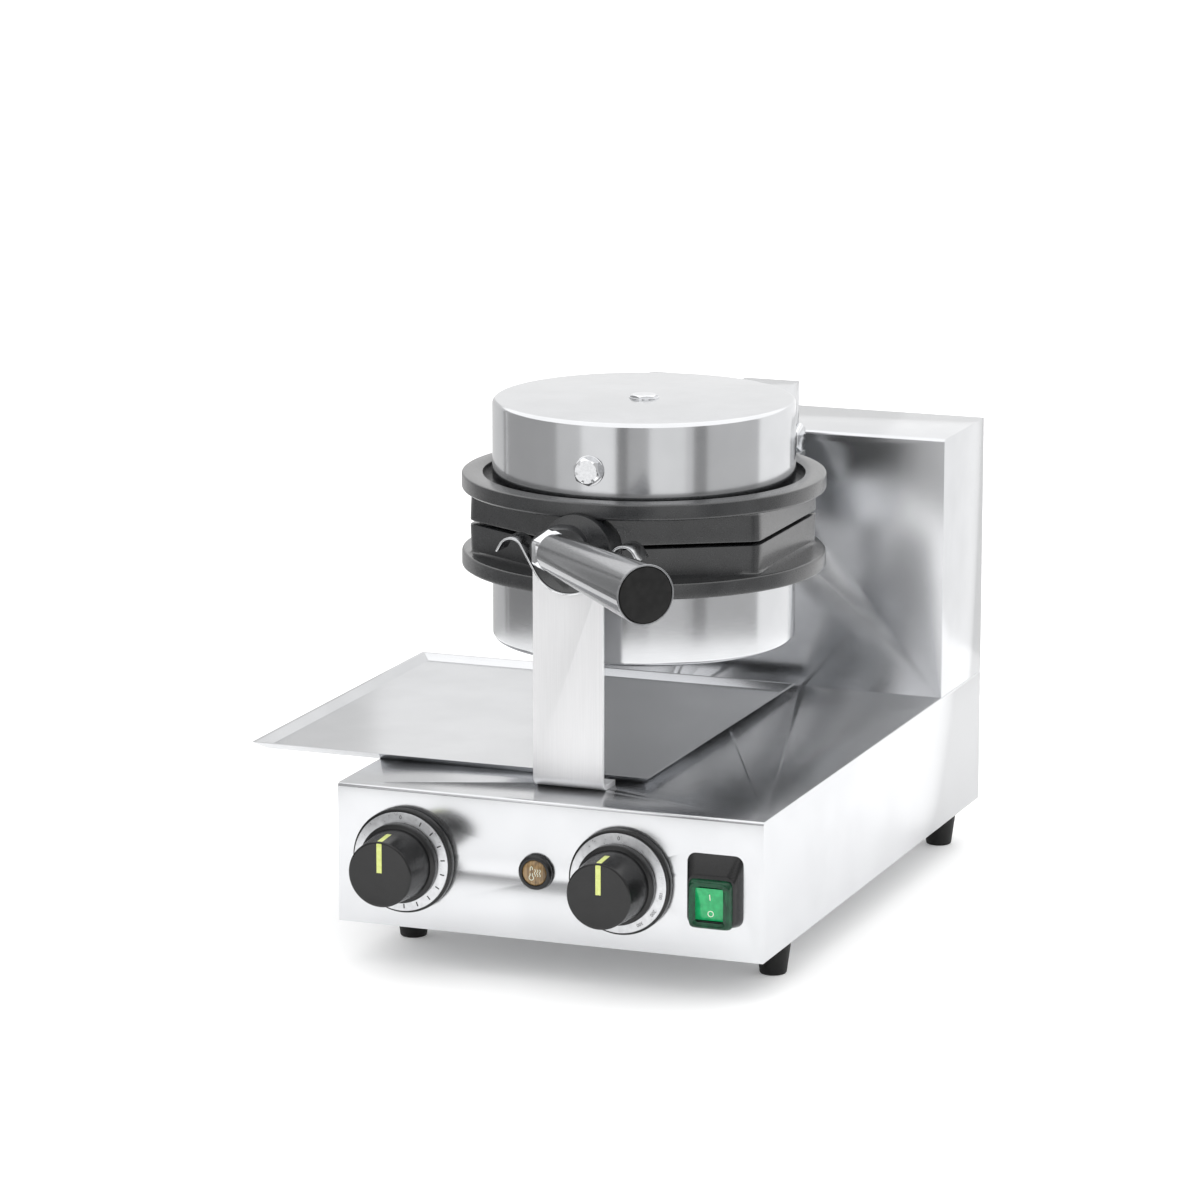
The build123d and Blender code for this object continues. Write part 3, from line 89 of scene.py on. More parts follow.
# Sizes of the solids that the finished pieces repeat, in millimetres; heights are from the turning axis
DRUM_R = 85.7
DRUM_WALL = 1.2
DRUM_FOOT = 20.0
DRUM_END = 68.2
SIDE_BOLT_UP = 41.5
BOLT_FLATS = 14.0
SIDE_BOLT_TALL = 5.5
END_BOLT_TALL = 2.0
SIDE_BOLT_TURN = math.radians(11)
CAVITY_FLOOR = 2.5
SKIRT_R = 99.4
FLANGE_R = 101.4
STUD_R = 6.0
HANDLE_ROOT_R = 11.0
HANDLE_TIP_R = 16.5
HANDLE_LENGTH = 119.5
NUT_FLATS = 22.0
NUT_LENGTH = 7.0
LENS_R = 7.15
LENS_DOME = 1.6

# Sections as (radius, height) in millimetres; a casting's radius is to the hexagon's corner
CAVITY_WALL = ((83.2, 2.5), (83.7, 2.3), (84, 1.7), (84.5, 0.95), (85.2, 0.9))
SKIRT_WALL = ((99.2, 0.9), (99.8, 1.2), (99.97, 1.9), (99.45, 15.0), (SKIRT_R, 16.2))
RAISED_LIP = ((91.8, 26.5), (91.2, 26.2), (91.0, 25.6), (91.0, 20.0), (0, 20.0))
TUBE_MOUTH = ((15.25, 116.0), (14.8, 108.0), (STUD_R, 108.0))
CAP_SIDE = ((0, 109.5), (14.75, 109.5), (15.2, 119.0))
CAP_FACE = ((14.8, 119.6), (13.6, 119.9), (8.0, 120.05), (0, 120.1))
SCREW_HEAD = ((2.3, 0.0), (3.2, -0.25), (3.8, -0.8), (4.0, -1.5), (4.0, -2.0), (2.0, -2.0))
# How far the skirt has turned into the round flange, by height
SKIRT_TO_FLANGE = ((0.12, 17.0), (0.35, 17.4), (1.0, 17.5))

# Facets round each kind of turned piece
CASTING_SIDES = 288
DRUM_SIDES = 160
KNOB_SIDES = 128
HEX_SIDES = 72
LENS_SIDES = 64
BOOT_SIDES = 64
SCREW_SIDES = 40
CUP_SIDES = 36

BOLT_SHARPNESS = 60
WELD = 0.002 * MM
FLAT_WITHIN = math.radians(0.6)
SHARP_ABOVE = math.radians(32)

# The sockets of a Mix node that hold colours
MIX_A, MIX_B, MIX_OUT = 6, 7, 2

# Bands that polished steel reflects: start and end in degrees from the front, light above and below.
# Each band is two rows of cards, between these heights in metres.
CARDS = (
    (-180, -140, 1.02, 0.9),
    (-140, -102.6, 0.75, 0.6),
    (-102.6, -99.1, 0.3, 0.3),
    (-99.1, -96.6, 0.85, 0.5),
    (-96.6, -43, 0.46, 0.28),
    (-43, -23.4, 0.72, 0.3),
    (-23.4, 1.6, 1.05, 0.34),
    (1.6, 9.3, 0.28, 0.2),
    (9.3, 23.9, 0.55, 0.4),
    (23.9, 49.2, 0.95, 0.6),
    (49.2, 54.9, 0.75, 0.5),
    (54.9, 64.6, 0.34, 0.3),
    (64.6, 110, 0.66, 0.55),
    (110, 180, 1.15, 1.15),
)
CARD_ROWS = (("low", 0.05, 0.135), ("high", 0.135, 0.5))
CARD_STEPS = 8

BODY_OF = {name: body_of(node)[0] for name, node in frame["nodes"].items()}
SLOT_OF = {name: node.data.materials[0].name.split(".")[0] for name, node in frame["nodes"].items()}


# Sizes and colours


class HeadSettings(bpy.types.PropertyGroup):
    """Castings and drums."""

    corner: FloatProperty(
        name="Corner sharpness", description="Higher makes the hexagon's corners sharper", default=70.0
    )
    cup_radius: FloatProperty(
        name="Cup radius", description="Radius of a bubble cup at its mouth", unit="LENGTH", default=0.0105
    )
    cup_depth: FloatProperty(
        name="Cup depth", description="Depth of a bubble cup", unit="LENGTH", default=0.0095
    )
    cup_pitch: FloatProperty(
        name="Cup pitch", description="Distance between neighbouring cups", unit="LENGTH", default=0.0236
    )
    drum_edge: FloatProperty(
        name="Drum edge", description="Radius of the drum's drawn edge", unit="LENGTH", default=0.0028
    )


class HandleSettings(bpy.types.PropertyGroup):
    """Handle and its end."""

    rim: FloatProperty(name="Rim", description="Roll of the tube's open rim", unit="LENGTH", default=0.0006)
    sides: IntProperty(name="Sides", description="Facets round the tube", default=96)


class PanelSettings(bpy.types.PropertyGroup):
    """Marks on the dials and the lamp."""

    tick_count: IntProperty(name="Timer ticks", description="Marks round the timer dial", default=9)
    tick_first: FloatProperty(
        name="First tick", description="Clockwise angle of the first", subtype="ANGLE", default=math.radians(28)
    )
    tick_step: FloatProperty(
        name="Tick step", description="Angle between marks", subtype="ANGLE", default=math.radians(18.5)
    )
    tick_length: FloatProperty(name="Tick length", description="A mark's length", unit="LENGTH", default=0.0026)
    tick_width: FloatProperty(name="Tick width", description="Width of a mark", unit="LENGTH", default=0.0007)
    mark_radius: FloatProperty(
        name="Mark radius", description="Radius of the marks' middle", unit="LENGTH", default=0.0252
    )
    numeral: FloatProperty(name="Figure size", description="Height of a figure", unit="LENGTH", default=0.0031)


class StageSettings(bpy.types.PropertyGroup):
    """Camera, floor and lights."""

    camera_place: FloatVectorProperty(
        name="Camera place",
        description="Where the camera stands",
        subtype="XYZ",
        unit="LENGTH",
        default=(1.10854, -2.87174, 0.84236),
    )
    azimuth: FloatProperty(
        name="Azimuth",
        description="Angle of the camera round the object, from the front towards the right",
        subtype="ANGLE",
        default=math.radians(21.02),
    )
    elevation: FloatProperty(
        name="Elevation",
        description="Angle of the camera above the horizon",
        subtype="ANGLE",
        default=math.radians(12.15),
    )
    lens: FloatProperty(
        name="Focal length",
        description="Focal length for a sensor 36 mm wide",
        unit="CAMERA",
        default=164.85,
    )
    floor_colour: StringProperty(name="Floor", description="Floor colour, sRGB hex", default="F7F7F7")
    card_distance: FloatProperty(
        name="Card distance", description="How far the grey cards stand off", unit="LENGTH", default=0.5
    )


# Values and nodes


def linear(code):
    """Linear RGBA of an sRGB hex colour."""
    parts = [int(code[i : i + 2], 16) / 255 for i in (0, 2, 4)]
    return [p / 12.92 if p <= 0.04045 else ((p + 0.055) / 1.055) ** 2.4 for p in parts] + [1.0]


def add(tree, kind, links=(), to=(), stops=(), **settings):
    """Adds a node: settings are its properties or inputs, links feed it, to is what its first output feeds."""
    node = tree.nodes.new(kind)
    for name, value in settings.items():
        if hasattr(node, name):
            setattr(node, name, value)
        else:
            node.inputs[name.replace("_", " ")].default_value = value
    for target, source in links:
        tree.links.new(getattr(source, "outputs", [source])[0], node.inputs[target])
    for target, socket in to:
        tree.links.new(node.outputs[0], target.inputs[socket])
    for index, (place, code) in enumerate(stops):
        element = node.color_ramp.elements[index] if index < 2 else node.color_ramp.elements.new(place)
        element.position = place
        element.color = linear(code)
    return node


def finish(name, colour, roughness, metallic=0.0, **values):
    """A new material with a Principled shader: its tree, shader and object coordinates come back too."""
    material = bpy.data.materials.new(name)
    material.use_nodes = True
    tree = material.node_tree
    shader = tree.nodes["Principled BSDF"]
    shader.inputs["Base Color"].default_value = linear(colour)
    shader.inputs["Roughness"].default_value = roughness
    shader.inputs["Metallic"].default_value = metallic
    for socket, value in values.items():
        shader.inputs[socket.replace("_", " ")].default_value = value
    material.diffuse_color = linear(colour)
    place = add(tree, "ShaderNodeTexCoord").outputs["Object"]
    return material, tree, shader, place


def mottle(tree, shader, tint, polish):
    """Gives a finish its uneven colour and gloss: each is a pattern and the two values it moves between."""
    pattern, dark, light = tint
    ramp = [(0.35, dark), (0.65, light)]
    add(tree, "ShaderNodeValToRGB", [("Fac", pattern)], [(shader, "Base Color")], ramp)
    pattern, smooth, rough = polish
    add(tree, "ShaderNodeMapRange", [("Value", pattern)], [(shader, "Roughness")], To_Min=smooth, To_Max=rough)


def grain(tree, place, scale, detail=2.0, turn=0.0):
    """Noise drawn out into lines."""
    along = add(tree, "ShaderNodeMapping", [("Vector", place)], Scale=scale, Rotation=(0, 0, turn))
    return add(tree, "ShaderNodeTexNoise", [("Vector", along)], Scale=1.0, Detail=detail)


def clouded(name, colour, roughness, metallic, scale, tint, polish, **values):
    """A whole finish whose colour and gloss both follow one soft noise."""
    material, tree, shader, place = finish(name, colour, roughness, metallic, **values)
    clouds = add(tree, "ShaderNodeTexNoise", [("Vector", place)], Scale=scale)
    mottle(tree, shader, (clouds, *tint), (clouds, *polish))
    return material


# Materials


def brushed_stainless_sheet():
    """Folded stainless sheet, fine brushed: clear soft reflections with faint streaks across the roll."""
    material, tree, shader, place = finish("brushed_stainless_sheet", "D2D3D5", 0.2, 1.0)
    streaks = grain(tree, place, (140, 140, 2400), 3.0)
    clouds = add(tree, "ShaderNodeTexNoise", [("Vector", place)], Scale=28.0)
    mottle(tree, shader, (clouds, "D0D1D3", "D5D6D8"), (streaks, 0.19, 0.235))
    add(tree, "ShaderNodeBump", [("Height", streaks)], [(shader, "Normal")], Strength=0.06, Distance=0.002 * MM)
    return material


def satin_stainless_strip():
    """Flat stainless strip with a satin belt finish: even, pale and almost without reflections."""
    material, tree, shader, place = finish("satin_stainless_strip", "F1F1F2", 0.5, 1.0)
    belt = grain(tree, place, (2400, 2400, 40), 3.0)
    mottle(tree, shader, (belt, "EFEFF0", "F3F3F4"), (belt, 0.47, 0.51))
    return material


def drawn_stainless_drum():
    """Drawn stainless drum, brushed round its wall: soft upright bands broken by fine level lines."""
    material, tree, shader, place = finish("drawn_stainless_drum", "D0D1D3", 0.15, 1.0)
    streaks = grain(tree, place, (140, 140, 2600), 4.0)
    clouds = add(tree, "ShaderNodeTexNoise", [("Vector", place)], Scale=35.0)
    mottle(tree, shader, (clouds, "CECFD1", "D3D4D6"), (streaks, 0.1, 0.2))
    add(tree, "ShaderNodeBump", [("Height", streaks)], [(shader, "Normal")], Strength=0.2, Distance=0.003 * MM)
    return material


def mill_steel_sheet():
    """Mill finish steel sheet inside the housing: dull grey with cloudy patches."""
    return clouded("mill_steel_sheet", "A9ABAD", 0.42, 1.0, 80.0, ("9FA1A3", "B4B6B8"), (0.36, 0.5))


def coated_cast_aluminium():
    """Sand cast aluminium under dark nonstick coating: dark from the front, lighter where light grazes it."""
    coat = {"Coat_Weight": 0.45, "Coat_Roughness": 0.2, "Coat_IOR": 1.55}
    material, tree, shader, place = finish("coated_cast_aluminium", "1A1B1D", 0.28, 0.0, IOR=1.6, **coat)
    pebbles = add(tree, "ShaderNodeTexNoise", [("Vector", place)], Scale=1300.0, Detail=3.0)
    patches = add(tree, "ShaderNodeTexNoise", [("Vector", place)], Scale=110.0)
    mottle(tree, shader, (patches, "17181A", "202123"), (pebbles, 0.22, 0.36))
    add(tree, "ShaderNodeBump", [("Height", pebbles)], [(shader, "Normal")], Strength=0.5, Distance=0.035 * MM)
    return material


def polished_steel_tube():
    """Polished stainless tube: a clear greyish mirror with long soft bands and fine lengthwise lines."""
    material, tree, shader, place = finish("polished_steel_tube", "929395", 0.1, 1.0)
    lines = grain(tree, place, (40, 2200, 2200), 3.0, math.pi / 4)
    mottle(tree, shader, (lines, "88898B", "9C9D9F"), (lines, 0.07, 0.18))
    return material


def bright_chrome():
    """Chrome plated turned steel: near mirror with a trace of polishing marks."""
    return clouded("bright_chrome", "E2E3E5", 0.08, 1.0, 600.0, ("DCDDDF", "E8E9EB"), (0.05, 0.12))


def zinc_plated_steel():
    """Zinc plated screws: pale grey, satin and slightly cloudy."""
    return clouded("zinc_plated_steel", "C3C5C7", 0.28, 1.0, 500.0, ("B6B8BA", "CDCFD1"), (0.2, 0.36))


def cold_rolled_spring():
    """Cold rolled spring strip: smooth and bright along the roll direction."""
    material, tree, shader, place = finish("cold_rolled_spring", "CDCECF", 0.2, 1.0)
    lines = grain(tree, place, (60, 2500, 60))
    mottle(tree, shader, (lines, "C6C7C9", "D8D9DA"), (lines, 0.12, 0.24))
    return material


def moulded_black_abs():
    """Injection moulded black plastic with a fine spark eroded texture: deep satin black."""
    material, tree, shader, place = finish("moulded_black_abs", "0F0F10", 0.28, 0.0, IOR=1.5)
    spark = add(tree, "ShaderNodeTexNoise", [("Vector", place)], Scale=3600.0)
    clouds = add(tree, "ShaderNodeTexNoise", [("Vector", place)], Scale=150.0)
    mottle(tree, shader, (clouds, "0D0D0E", "131314"), (spark, 0.22, 0.32))
    add(tree, "ShaderNodeBump", [("Height", spark)], [(shader, "Normal")], Strength=0.3, Distance=0.008 * MM)
    return material


def moulded_rubber():
    """Moulded black rubber: matt, with a little bloom."""
    dull = {"IOR": 1.52, "Specular_IOR_Level": 0.3}
    return clouded("moulded_rubber", "101010", 0.6, 0.0, 250.0, ("0C0C0C", "171717"), (0.5, 0.68), **dull)


def anodised_aluminium_dial():
    """Silver anodised aluminium disc, spun: soft satin with faint rings."""
    return clouded("anodised_aluminium_dial", "CFD0D2", 0.3, 1.0, 330.0, ("C8C9CB", "D6D7D9"), (0.24, 0.34))


def moulded_yellow_acetal():
    """Moulded pale yellow acetal: smooth, slightly waxy."""
    return clouded(
        "moulded_yellow_acetal", "CDD67E", 0.32, 0.0, 330.0, ("C6CF74", "D4DC8A"), (0.28, 0.38), IOR=1.48
    )


def amber_polycarbonate():
    """Amber polycarbonate lens over a dark lamp: glossy brown with upright flutes behind it."""
    material, tree, shader, place = finish("amber_polycarbonate", "8F7550", 0.18, 0.0, IOR=1.58)
    flutes = grain(tree, place, (900, 900, 40))
    mottle(tree, shader, (flutes, "5E4A30", "9C8058"), (flutes, 0.12, 0.22))
    return material


def green_polycarbonate():
    """Lit green polycarbonate rocker: bright, glossy, and glowing a little from the lamp inside."""
    lit = {"IOR": 1.58, "Emission_Color": linear("1F9A5C"), "Emission_Strength": 0.45}
    return clouded("green_polycarbonate", "1F8A4C", 0.2, 0.0, 330.0, ("12804A", "1F9A5C"), (0.16, 0.26), **lit)


def green_silicone_boot():
    """Clear green silicone splash boot: glossy, darker along its walls, with the lit rocker showing through."""
    clear = {"IOR": 1.42, "Transmission_Weight": 0.35}
    tint = ("0C4029", "145A3B")
    return clouded("green_silicone_boot", "0F4A30", 0.14, 0.0, 200.0, tint, (0.1, 0.18), **clear)


def sintered_bronze():
    """Sintered bronze bush: dull gold with fine pores."""
    return clouded("sintered_bronze", "A67C4A", 0.4, 1.0, 2000.0, ("8E683B", "B58A55"), (0.34, 0.5))


def cream_polyamide():
    """Moulded cream polyamide terminal block: matt and slightly waxy."""
    return clouded("cream_polyamide", "D9CFB8", 0.45, 0.0, 330.0, ("D2C8B0", "E0D7C2"), (0.4, 0.52), IOR=1.53)


def black_dial_ink():
    """Screen printed black ink on the dials: matt with slightly uneven cover."""
    return clouded("black_dial_ink", "1A1A1C", 0.5, 0.0, 2500.0, ("151517", "2A2A2D"), (0.42, 0.58))


def pale_print():
    """Pale print on the lamp and the rocker: matt cream with slightly uneven cover."""
    return clouded("pale_print", "E4EBD8", 0.5, 0.0, 2500.0, ("D8E2C8", "EEF4E4"), (0.42, 0.58))


def studio_paper():
    """Seamless white background paper: matt, with fibres too fine to see."""
    colour = bpy.context.scene.waffle_stage.floor_colour
    glow = {"Emission_Color": linear("FFFFFF"), "Emission_Strength": 0.16}
    material, tree, shader, place = finish("studio_paper", colour, 0.85, **glow)
    fibres = add(tree, "ShaderNodeTexNoise", [("Vector", place)], Scale=300.0)
    add(tree, "ShaderNodeMapRange", [("Value", fibres)], [(shader, "Roughness")], To_Min=0.8, To_Max=0.9)
    return material


SLOT_FINISHES = {
    "polished_steel": brushed_stainless_sheet,
    "plain_steel": mill_steel_sheet,
    "zinc_screws": zinc_plated_steel,
    "chrome": bright_chrome,
    "spring_steel": cold_rolled_spring,
    "cast_plate": coated_cast_aluminium,
    "heater_steel": mill_steel_sheet,
    "rubber": moulded_rubber,
    "black_plastic": moulded_black_abs,
    "dial_silver": anodised_aluminium_dial,
    "pointer_yellow": moulded_yellow_acetal,
    "lamp_amber": amber_polycarbonate,
    "rocker_green": green_polycarbonate,
    "bronze": sintered_bronze,
    "terminal_cream": cream_polyamide,
}


def of_finish(make):
    """The material that a finish function makes, made once."""
    return bpy.data.materials.get(make.__name__) or make()


# Shapes


def in_scene(name, data):
    """A new object with this data, linked to the scene."""
    thing = bpy.data.objects.new(name, data)
    bpy.context.scene.collection.objects.link(thing)
    return thing


def as_mesh(name, bm):
    """A mesh made of a working shape, which is freed."""
    mesh = bpy.data.meshes.new(name)
    bm.to_mesh(mesh)
    bm.free()
    return mesh


def cad_shape(node):
    """A working copy of a CAD node's shape, with the corners that its faces share made one."""
    bm = bmesh.new()
    bm.from_mesh(frame["nodes"][node].data)
    bmesh.ops.remove_doubles(bm, verts=bm.verts, dist=WELD)
    return bm


def middle(*names):
    """Middle of the box round these CAD nodes."""
    boxes = [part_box(name) for name in names]
    low = Vector([min(b[0][i] for b in boxes) for i in range(3)])
    high = Vector([max(b[1][i] for b in boxes) for i in range(3)])
    return (low + high) / 2


def halves(kind):
    """The upper and the lower node of a kind, each with its place about the head's middle."""
    axis = middle("upper_" + kind, "lower_" + kind)
    for side, upright in (("upper_", 1), ("lower_", -1)):
        yield side + kind, Matrix.Translation(axis) @ Matrix.Diagonal((1, 1, upright, 1))


def hexagon(radius, power):
    """Radius of a rounded hexagon with corners at 30 degrees and every 60 more, by angle."""
    flat = radius * math.cos(math.radians(30))

    def at(angle):
        total = 0.0
        for k in range(6):
            toward = math.cos(angle - math.radians(60 * k))
            if toward > 0:
                total += (toward / flat) ** power
        return total ** (-1 / power)

    return at


def in_metres(profile):
    """Rows in metres of a profile in millimetres."""
    return [(radius * MM, height * MM) for radius, height in profile]


def turned(rows, sides, place=Matrix(), closed=True):
    """A body turned about Z from (radius, height) rows in metres; a row may be a function of the angle."""
    bm = bmesh.new()
    loops = []
    for row in rows:
        if not callable(row) and row[0] < 1e-9:
            loops.append([bm.verts.new((0, 0, row[1]))])
            continue
        loop = []
        for i in range(sides):
            angle = 2 * math.pi * i / sides
            radius, height = row(angle) if callable(row) else row
            loop.append(bm.verts.new((radius * math.cos(angle), radius * math.sin(angle), height)))
        loops.append(loop)
    pairs = list(zip(loops, loops[1:])) + ([(loops[-1], loops[0])] if closed else [])
    for one, other in pairs:
        if len(one) == 1 and len(other) == 1:
            continue
        for i in range(sides):
            j = (i + 1) % sides
            corners = [one[i % len(one)], one[j % len(one)], other[j % len(other)], other[i % len(other)]]
            bm.faces.new(dict.fromkeys(corners))
    bm.transform(place)
    bmesh.ops.recalc_face_normals(bm, faces=bm.faces)
    return bm


def arc(centre, radius, start, end, steps=5):
    """Points of a profile's rounded corner, angles in degrees from the outward direction."""
    angles = [math.radians(start + (end - start) * i / steps) for i in range(steps + 1)]
    return [(centre[0] + radius * math.cos(a), centre[1] + radius * math.sin(a)) for a in angles]


def facing(place, way, turn=0.0):
    """A place whose Z points along way, turned about it."""
    aimed = Vector(way).to_track_quat("Z", "Y").to_matrix().to_4x4()
    return Matrix.Translation(place) @ aimed @ Matrix.Rotation(turn, 4, "Z")


def foot_and_rise(node):
    """Middle of the back of a piece on the front panel, and how far it stands out in millimetres."""
    low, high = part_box(node)
    return Vector(((low.x + high.x) / 2, high.y, (low.z + high.z) / 2)), (high.y - low.y) / MM


def commit(name, shape, node, make, added=False, body=None, smooth=38):
    """Puts a finished shape in the scene with a CAD node's body and the given finish, and in its place unless
    added.
    """
    mesh = as_mesh(name, shape) if isinstance(shape, bmesh.types.BMesh) else shape
    mesh.materials.clear()
    mesh.materials.append(of_finish(make))
    for polygon in mesh.polygons:
        polygon.use_smooth = True
        polygon.material_index = 0
    mesh.set_sharp_from_angle(angle=math.radians(smooth))
    piece = in_scene(name, mesh)
    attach(piece, body or BODY_OF[node])
    if not added:
        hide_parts(node)


def eased(node, width, make):
    """A CAD node's shape again with its sharp edges rounded, as folding, casting and turning leave them."""
    bm = cad_shape(node)
    bmesh.ops.dissolve_limit(bm, angle_limit=FLAT_WITHIN, verts=bm.verts, edges=bm.edges)
    bmesh.ops.recalc_face_normals(bm, faces=bm.faces)
    edges = [e for e in bm.edges if len(e.link_faces) == 2 and e.calc_face_angle(0) > SHARP_ABOVE]
    round_off = {"offset": width * MM, "segments": 2, "profile": 0.5, "affect": "EDGES", "clamp_overlap": True}
    bmesh.ops.bevel(bm, geom=edges, **round_off)
    commit(node + "_finished", bm, node, make)


def tree_with(name, **inputs):
    """A geometry node tree with a mesh in, a mesh out and these inputs by kind, and its input sockets."""
    tree = bpy.data.node_groups.new(name, "GeometryNodeTree")
    tree.interface.new_socket(name="Geometry", in_out="INPUT", socket_type="NodeSocketGeometry")
    for label, kind in inputs.items():
        tree.interface.new_socket(name=label, in_out="INPUT", socket_type="NodeSocket" + kind)
    tree.interface.new_socket(name="Geometry", in_out="OUTPUT", socket_type="NodeSocketGeometry")
    return tree, tree.nodes.new("NodeGroupInput").outputs


def painted_out(tree, pieces, given):
    """Ends a tree: makes its instances real, gives them the material and sends them out."""
    real = add(tree, "GeometryNodeRealizeInstances", [("Geometry", pieces)])
    painted = add(tree, "GeometryNodeSetMaterial", [("Geometry", real), ("Material", given["Material"])])
    add(tree, "NodeGroupOutput", [("Geometry", painted)])


def repeated(tree, points, **values):
    """Runs a tree on loose points and gives the plain mesh that comes out."""
    seed_mesh = bpy.data.meshes.new("seed")
    seed_mesh.from_pydata([tuple(p) for p in points], [], [])
    seed = in_scene("seed", seed_mesh)
    modifier = seed.modifiers.new("repeat", "NODES")
    modifier.node_group = tree
    for item in tree.interface.items_tree:
        if item.in_out == "INPUT" and item.name in values:
            modifier[item.identifier] = values[item.name]
    bpy.context.view_layer.update()
    depsgraph = bpy.context.evaluated_depsgraph_get()
    mesh = bpy.data.meshes.new_from_object(seed.evaluated_get(depsgraph), depsgraph=depsgraph)
    bpy.data.objects.remove(seed)
    bpy.data.meshes.remove(seed_mesh)
    return mesh


def scatter_tree():
    """Sets one piece on every point: screws and bubble cups."""
    found = bpy.data.node_groups.get("scatter")
    if found:
        return found
    tree, given = tree_with("scatter", Piece="Object", Material="Material")
    points = add(tree, "GeometryNodeMeshToPoints", [("Mesh", given["Geometry"])])
    piece = add(tree, "GeometryNodeObjectInfo", [("Object", given["Piece"])])
    links = [("Points", points), ("Instance", piece.outputs["Geometry"])]
    painted_out(tree, add(tree, "GeometryNodeInstanceOnPoints", links), given)
    return tree


def tick_tree():
    """Sets marks round a dial whose face looks to the front."""
    sizes = dict.fromkeys(("Radius", "First", "Step", "Length", "Width", "Height"), "Float")
    tree, given = tree_with("dial_ticks", Count="Int", Material="Material", **sizes)
    line = add(tree, "GeometryNodeMeshLine", [("Count", given["Count"])])
    index = add(tree, "GeometryNodeInputIndex")
    angle = [(0, index), (1, given["Step"]), (2, given["First"])]
    turn = add(tree, "ShaderNodeMath", angle, operation="MULTIPLY_ADD")
    across = add(tree, "ShaderNodeMath", [(0, turn)], operation="SINE")
    up = add(tree, "ShaderNodeMath", [(0, turn)], operation="COSINE")
    way = add(tree, "ShaderNodeCombineXYZ", [("X", across), ("Z", up)])
    place = add(tree, "ShaderNodeVectorMath", [(0, way), ("Scale", given["Radius"])], operation="SCALE")
    spread = add(tree, "GeometryNodeSetPosition", [("Geometry", line), ("Position", place)])
    sides = [("X", given["Width"]), ("Y", given["Height"]), ("Z", given["Length"])]
    mark = add(tree, "GeometryNodeMeshCube", [("Size", add(tree, "ShaderNodeCombineXYZ", sides))])
    tilt = add(tree, "ShaderNodeCombineXYZ", [("Y", turn)])
    links = [("Points", spread), ("Instance", mark), ("Rotation", tilt)]
    painted_out(tree, add(tree, "GeometryNodeInstanceOnPoints", links), given)
    return tree


def scattered(name, bm, points, node, make, added=False):
    """A group of like pieces, one at each point, as one piece of the scene."""
    mesh = as_mesh("pattern", bm)
    pattern = in_scene("pattern", mesh)
    out = repeated(scatter_tree(), points, Piece=pattern, Material=of_finish(make))
    bpy.data.objects.remove(pattern)
    bpy.data.meshes.remove(mesh)
    commit(name, out, node, make, added)


def letters(name, text, size, place, node, make, turn=0.0, thick=0.06, lean=0.0):
    """Printed figures on a face that looks to the front, turned clockwise."""
    curve = bpy.data.curves.new(name, "FONT")
    curve.body = text
    curve.size = size
    curve.align_x = "CENTER"
    curve.align_y = "CENTER"
    curve.extrude = thick * MM
    curve.resolution_u = 3
    source = bpy.data.objects.new("text", curve)
    mesh = bpy.data.meshes.new_from_object(source)
    bm = bmesh.new()
    bm.from_mesh(mesh)
    bpy.data.meshes.remove(mesh)
    bpy.data.objects.remove(source)
    bpy.data.curves.remove(curve)
    bmesh.ops.remove_doubles(bm, verts=bm.verts, dist=1e-7)
    upright = Matrix.Rotation(turn, 4, "Y") @ Matrix.Rotation(math.pi / 2 + lean, 4, "X")
    bm.transform(Matrix.Translation(place) @ upright)
    commit(name, bm, node, make, added=True)


def islands(node):
    """Box of every separate solid of a CAD node."""
    bm = cad_shape(node)
    left = set(bm.verts)
    found = []
    for first in bm.verts:
        if first not in left:
            continue
        left.remove(first)
        stack = [first]
        group = []
        while stack:
            vert = stack.pop()
            group.append(vert.co.copy())
            beside = {edge.other_vert(vert) for edge in vert.link_edges} & left
            left -= beside
            stack.extend(beside)
        found.append([Vector([end(p[i] for p in group) for i in range(3)]) for end in (min, max)])
    bm.free()
    return found


# Pieces


